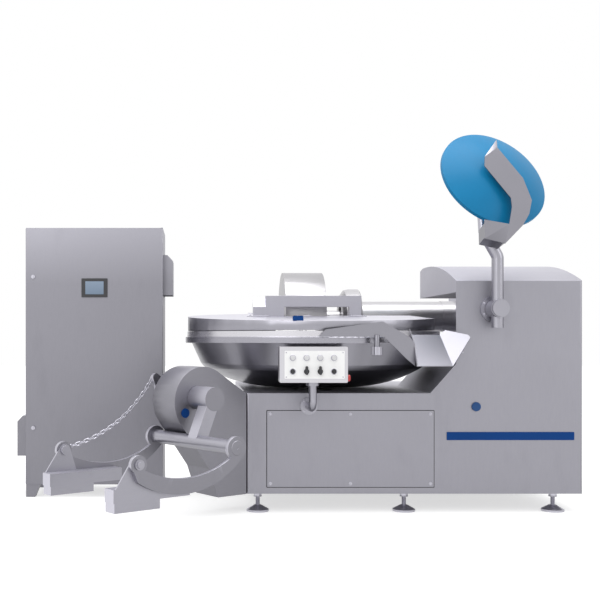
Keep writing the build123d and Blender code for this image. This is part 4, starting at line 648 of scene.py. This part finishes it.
teeth = [(core, stem_foot)]
turn = thread_foot
while turn < thread_top:
    teeth += [(core, turn), (crest, turn + flank), (crest, turn + 1.5 * flank)]
    turn += thread_pitch
stem = teeth + [(core, stem_top)]
nut = [(0.0195, 0), (0.0215, 0.0022, 1), (0.0218, nut_height - 0.0021, 1), (0.0195, nut_height)]
nut_washer = [(0.0255, 0), (0.0262, 0.0008), (0.0262, 0.0030)]
stems = Shape()
for x, y in foot_places:
    stems.lathe((x, y, 0), upwards, stem, steps=20)
    stems.lathe((x, y, nut_foot), upwards, nut, steps=36, sides=6)
    stems.lathe((x, y, washer_foot), upwards, nut_washer)
stems.piece("foot_threads", fitting_steel, "machine", ["foot_stems"])
print("feet:", len(foot_places))

# %% [markdown]
# ## Chain
#
# The loader's safety chain hangs in a curve between the housing's axle and the rear fork. The
# curve is an arc through its two ends and a low point a little nearer the axle. Real links are
# bent from round wire and every second one is turned by a quarter. The CAD links are flat, so
# each gets a round-wire twin on the same curve, with the same spacing.

# %% Loader's own plane
loader_turn = math.radians(36)
loader_foot = Vector((-0.5806, -0.4910, 0))
loader_u = Vector((math.cos(loader_turn), math.sin(loader_turn), 0))
loader_out = Vector((math.sin(loader_turn), -math.cos(loader_turn), 0))


def loader_point(u, z, t):
    """A place from the loader's own distances: along the arm, up, and out of the housing."""
    return loader_foot + loader_u * u + loader_out * t + Vector((0, 0, z))


def circle_through(a, b, c):
    """Centre of the circle through three points of one plane."""
    ab, ac = b - a, c - a
    normal = ab.cross(ac)
    return a + (ac.length_squared * normal.cross(ab) + ab.length_squared * ac.cross(normal)) / (
        2 * normal.length_squared
    )


# %% Round-wire links
chain_t = -0.352
fork_u, fork_z = -0.737, 0.439
axle_u, axle_z = -0.085, 0.840
lowest_share = 0.54
sag = 0.106
link_pitch, link_play = 0.033, 0.0026
pin_inside, pin_play = 0.005, 0.0005
straight_half, bend_radius, wire_radius = 0.0110, 0.0090, 0.0034

low_u = (1 - lowest_share) * fork_u + lowest_share * axle_u
low_z = (1 - lowest_share) * fork_z + lowest_share * axle_z - sag
chain_start = loader_point(fork_u, fork_z, chain_t)
chain_end = loader_point(axle_u, axle_z, chain_t)
chain_centre = circle_through(chain_start, loader_point(low_u, low_z, chain_t), chain_end)
chain_radius = (chain_start - chain_centre).length
chain_turn = (chain_start - chain_centre).angle(chain_end - chain_centre)
chain_run = chain_radius * chain_turn
link_seat = link_pitch / 2 - pin_inside - pin_play
half_links = int((chain_run - 2 * link_seat) / (link_pitch - link_play) / 2) + 1
link_step = (chain_run - 2 * link_seat) / (2 * half_links)
start_arm = chain_start - chain_centre
spin_axis = start_arm.cross(chain_end - chain_centre).normalized()
chain = Shape()
for count in range(2 * half_links + 1):
    angle = (link_seat + count * link_step) / chain_radius
    arm = Matrix.Rotation(angle, 3, spin_axis) @ start_arm
    along = spin_axis.cross(arm).normalized()
    middle = chain_centre + arm
    side = arm.normalized() if count % 2 == 0 else loader_out
    path = []
    for half in (1, -1):
        for step in range(9):
            swing = math.pi * step / 8 - math.pi / 2
            bend = along * (half * (straight_half + bend_radius * math.cos(swing)))
            path.append(middle + bend + side * (half * bend_radius * math.sin(swing)))
    chain.tube(path, wire_radius, sides=8, closed=True)
chain.piece("chain_links", fitting_steel, "loader", ["loader_chain"])
print("chain:", 2 * half_links + 1, "links over", round(chain_run, 3), "m")

# %% [markdown]
# ## Finding the surface
#
# A bolt has to sit on its plate, not near it. A ray sent at a solid gives the spot it hits and
# which way the surface faces there, so each small part is placed on what really carries it.

# %% Ray to surface
trees = {}


def surface(name, start, direction):
    """The first spot of a solid along a ray, and the way the surface faces there."""
    if name not in trees:
        mesh = nodes[name].data
        trees[name] = BVHTree.FromPolygons(
            [vertex.co.copy() for vertex in mesh.vertices],
            [tuple(polygon.vertices) for polygon in mesh.polygons],
        )
    spot, normal, _, _ = trees[name].ray_cast(Vector(start), Vector(direction))
    if spot is None:
        raise ValueError(f"the ray from {start} misses {name}")
    if normal.dot(Vector(direction)) > 0:
        normal = -normal
    return spot, normal


def hex_bolt(shape, place, axis, reach, height):
    """A washer and a hexagon head with a chamfered top, standing on a surface."""
    washer_top = 0.0012
    shape.lathe(place, axis, [(reach, -0.0004), (reach, washer_top), (0.94 * reach, 0.0018)])
    radius = 0.78 * reach
    head = [
        (radius, washer_top, 1), (radius, 0.0010 + 0.82 * height, 1),
        (0.80 * radius, height + washer_top),
    ]
    shape.lathe(place, axis, head, steps=36, sides=6)


# %% [markdown]
# ## Touch screen, buttons and panel screws
#
# The panel is a white plate with its push buttons and switches in two rows. Each control has a
# thin metal ring that clamps it, and the plate has a screw in each corner. The glass of the touch
# screen stands a hair proud of its black frame.

# %% Screen glass
frame_side, frame_end = 0.026, 0.020
glass_proud, glass_sunk = 0.0008, 0.0015
glass_low, glass_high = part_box("touch_screen")
glass = Shape()
glass.slab(
    (glass_low[0] + frame_side, glass_low[1] - glass_proud, glass_low[2] + frame_end),
    (glass_high[0] - frame_side, glass_low[1] + glass_sunk, glass_high[2] - frame_end),
    edge=0.0005,
)
glass.piece("screen_glass", screen_glass, "door")
print("screen glass:", len(glass.faces), "faces")

# %% Clamping rings and panel screws
panel_low, panel_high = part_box("panel_plate")
switch_row = 0.883
button_hole, lever_hole = 0.0148, 0.0120
corner = 0.010
controls = ["push_button_1", "push_button_2", "push_button_3", "push_button_4",
            "selector_left", "selector_right", "lever_switch_left", "lever_switch_right"]
rings = Shape()
for name in controls:
    low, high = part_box(name)
    row = (low[2] + high[2]) / 2 if name.startswith("push") else switch_row
    hole = lever_hole if name.startswith("lever") else button_hole
    rings.lathe(((low[0] + high[0]) / 2, panel_low[1] + 0.0004, row), towards_front, [
        (hole + 0.0004, 0), (hole + 0.0038, 0), (hole + 0.0038, 0.0016),
        (hole + 0.0028, 0.0024), (hole + 0.0004, 0.0024),
    ], steps=32)
for x in (panel_low[0] + corner, panel_high[0] - corner):
    for z in (panel_low[2] + corner, panel_high[2] - corner):
        socket_screw(rings, (x, panel_low[1] + 0.0002, z), towards_front, 0.0038, 0.0024)
rings.piece("control_rings", fitting_steel, "machine")
print("controls:", len(controls))

# %% [markdown]
# ## Bolts and flanges
#
# Castings and tubes are bolted on: the ejector's bearing to the housing, the control stand to the
# base, and the frame to the lid through small feet. The feet follow the slope of the lid, so they
# are placed by rays too.

# %% Bolt circles
def bolt_circle(shape, node, centre, reach, count, first, size, height):
    """Bolts evenly round a centre on a face seen from the front."""
    for step in range(count):
        angle = math.radians(first + 360 / count * step)
        start = (centre[0] + reach * math.cos(angle), -1.0, centre[1] + reach * math.sin(angle))
        spot, _ = surface(node, start, (0, 1, 0))
        hex_bolt(shape, spot, towards_front, size, height)


bolts = Shape()
bolt_circle(bolts, "ejector_bearing", (1.253, 1.262), 0.068, 6, 30, 0.0075, 0.0050)
bolt_circle(bolts, "control_stand", (0.111, 0.660), 0.043, 4, 45, 0.0060, 0.0040)
bolts.piece("flange_bolts", fitting_steel, "machine")
print("flange bolts:", len(bolts.faces), "faces")

# %% Feet of the lid frame
foot_half_depth, foot_height, foot_edge = 0.017, 0.006, 0.001
bolt_share = 0.72
frame_low, frame_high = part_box("lid_frame")
frame_front = frame_low[1] - 0.022
across = Vector((1, 0, 0))
feet = Shape()
for x, half_width in (
    (frame_low[0] + 0.030, 0.075), (0.165, 0.055), (frame_high[0] - 0.030, 0.060)
):
    spot, facing = surface("noise_lid", (x, frame_front, 2.0), (0, 0, -1))
    depth = facing.cross(across).normalized()
    layers = []
    for lift, inset in ((-0.001, 0), (foot_height - foot_edge, 0), (foot_height, foot_edge)):
        layers.append([
            spot + facing * lift
            + across * (sx * (half_width - inset)) + depth * (sy * (foot_half_depth - inset))
            for sx, sy in ((-1, -1), (1, -1), (1, 1), (-1, 1))
        ])
    feet.skin(layers)
    for side in (-1, 1):
        place = spot + facing * foot_height + across * (side * half_width * bolt_share)
        hex_bolt(feet, place, facing, 0.0075, 0.005)
feet.piece("frame_feet", tube_steel, "lid")
print("frame feet:", len(feet.faces), "faces")

# %% [markdown]
# ## A cap, pipe ends and a gasket
#
# Small parts tell the eye how the machine is put together. The mark on the housing is a blue snap
# cap with a domed face, the loader's pipe is closed by a turned cap at each end, and a dark rubber
# gasket shows as a thin line all round the front cover.

# %% Blue snap cap
def dome(radius, height, foot=-0.0004):
    """A low dome with a rounded edge, as a lathe profile."""
    return [
        (radius, foot), (radius, 0.45 * height), (0.96 * radius, 0.72 * height),
        (0.80 * radius, 0.92 * height), (0.45 * radius, height), (0.02 * radius, height),
    ]


cap_radius, cap_height = 0.0285, 0.0070
cap_x, cap_z = 1.148, 0.656
spot, facing = surface("blue_accents", (cap_x, -1.0, cap_z), (0, 1, 0))
caps = Shape()
caps.lathe(spot, facing, dome(cap_radius, cap_height), steps=48)
caps.piece("hub_caps", marker_blue, "machine")
print("blue cap at", [round(value, 4) for value in spot])

# %% Pipe ends
pipe_u, pipe_z = -0.103, 0.481
pipe_front, pipe_rear = 0.512, -0.311
pipe_radius = 0.0400
end_cap = [
    (pipe_radius, -0.0030), (pipe_radius + 0.0008, -0.0020), (pipe_radius + 0.0008, 0.0010),
    (pipe_radius - 0.0010, 0.0030), (0.75 * pipe_radius, 0.0036), (0.0060, 0.0036),
    (0.0050, 0.0020),
]
ends = Shape()
for t, out in ((pipe_front, loader_out), (pipe_rear, -loader_out)):
    ends.lathe(loader_point(pipe_u, pipe_z, t), out, end_cap, steps=40)
ends.piece("pipe_ends", loader_steel, "loader")
print("pipe ends:", len(ends.faces), "faces")

# %% Gasket
gasket_radius, gasket_gap, gasket_sunk = 0.0030, 0.0010, 0.0005
cover_low, cover_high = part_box("front_cover")
y = cover_high[1] - gasket_sunk
x0, x1 = cover_low[0] - gasket_gap, cover_high[0] + gasket_gap
z0, z1 = cover_low[2] - gasket_gap, cover_high[2] + gasket_gap
corners = [(x0, y, z0), (x1, y, z0), (x1, y, z1), (x0, y, z1)]
gasket = Shape()
for start, end in zip(corners, corners[1:] + corners[:1]):
    gasket.tube([start, end], gasket_radius, sides=10)
gasket.piece("cover_gasket", rubber_black, "machine")
print("gasket round", round(x1 - x0, 3), "by", round(z1 - z0, 3), "m")

# %% [markdown]
# ## The room
#
# The floor and the far white are the colour of paper. The floor has to keep its shadows, so it is
# a plain mid grey with a glow on top, and only the camera and mirrored rays see that glow. Three
# wide soft lamps do the rest: one above, which makes every top bright, one from the front left and
# a weaker one from the right.

# %% Floor
def looked_at(net):
    """1 for a ray from the camera or one mirrored or bent by metal and glass, else 0."""
    ray = net.node("ShaderNodeLightPath", {}, {}).socket.node.outputs
    kinds = ("Is Camera Ray", "Is Glossy Ray", "Is Transmission Ray")
    first, second, third = (Wire(net, ray[kind]) for kind in kinds)
    return (first + second + third).above(0.0, 1.0)


floor_reach = 30
glow = (0.62, 0.62, 0.62, 1)
paper = Finish("white_floor")
paper_grey = paper.mix(paper.noise(0.8), (0.56, 0.56, 0.56, 1), (0.58, 0.58, 0.58, 1))
seen_glow = paper.mix(looked_at(paper), (0, 0, 0, 1), glow)
paper.shader.inputs["Roughness"].default_value = 0.9
paper.shader.inputs["Specular IOR Level"].default_value = 0.0
paper.shader.inputs["Emission Strength"].default_value = 1.0
paper.surface(Base_Color=paper_grey, Emission_Color=seen_glow)
floor_mesh = bpy.data.meshes.new("floor")
floor_corners = [
    (sx * floor_reach, sy * floor_reach, 0) for sx, sy in ((-1, -1), (1, -1), (1, 1), (-1, 1))
]
floor_mesh.from_pydata(floor_corners, [], [(0, 1, 2, 3)])
floor_mesh.materials.append(paper.material)
floor = bpy.data.objects.new("floor", floor_mesh)
scene.collection.objects.link(floor)
print("floor", 2 * floor_reach, "m wide")

# %% World
scene.world = bpy.data.worlds.new("room")
scene.world.use_nodes = True
backdrop = scene.world.node_tree.nodes["Background"]
backdrop.inputs["Color"].default_value = (1, 1, 1, 1)
backdrop.inputs["Strength"].default_value = 1.0
print("world:", scene.world.name)


# %% Lamps
def soft_lamp(name, place, target, size, power):
    lamp = bpy.data.lights.new(name, "AREA")
    lamp.shape = "RECTANGLE"
    lamp.size, lamp.size_y = size
    lamp.energy = power
    made = bpy.data.objects.new(name, lamp)
    made.location = place
    made.rotation_euler = (Vector(target) - Vector(place)).to_track_quat("-Z", "Y").to_euler()
    scene.collection.objects.link(made)


soft_lamp("top_light", (0.0, -0.6, 5.0), (0.0, 0.4, 0.8), (5.0, 2.6), 120)
soft_lamp("front_light", (-3.6, -5.4, 3.6), (0.0, 0.0, 1.0), (3.0, 2.6), 55)
soft_lamp("side_light", (5.2, -3.2, 3.0), (0.6, 0.2, 1.0), (2.0, 2.6), 25)
print("lamps:", len(bpy.data.lights))

# %% [markdown]
# ## Worn edges
#
# The sheet solids get their worn edges last: a Weld modifier joins their split corners and a Bevel
# modifier rounds the sharp ones.

# %% Worn edges
soften(0.0015, "machine_body", "cabinet_body", "cabinet_door", "control_box", "loader_housing")
soften(0.0012, "lid_frame", "knife_hood", "noise_lid", "discharge_chute", "loader_lever")
soften(0.0012, "loader_sickles", "loader_carriers", "hinge_posts", "ejector_scraper")
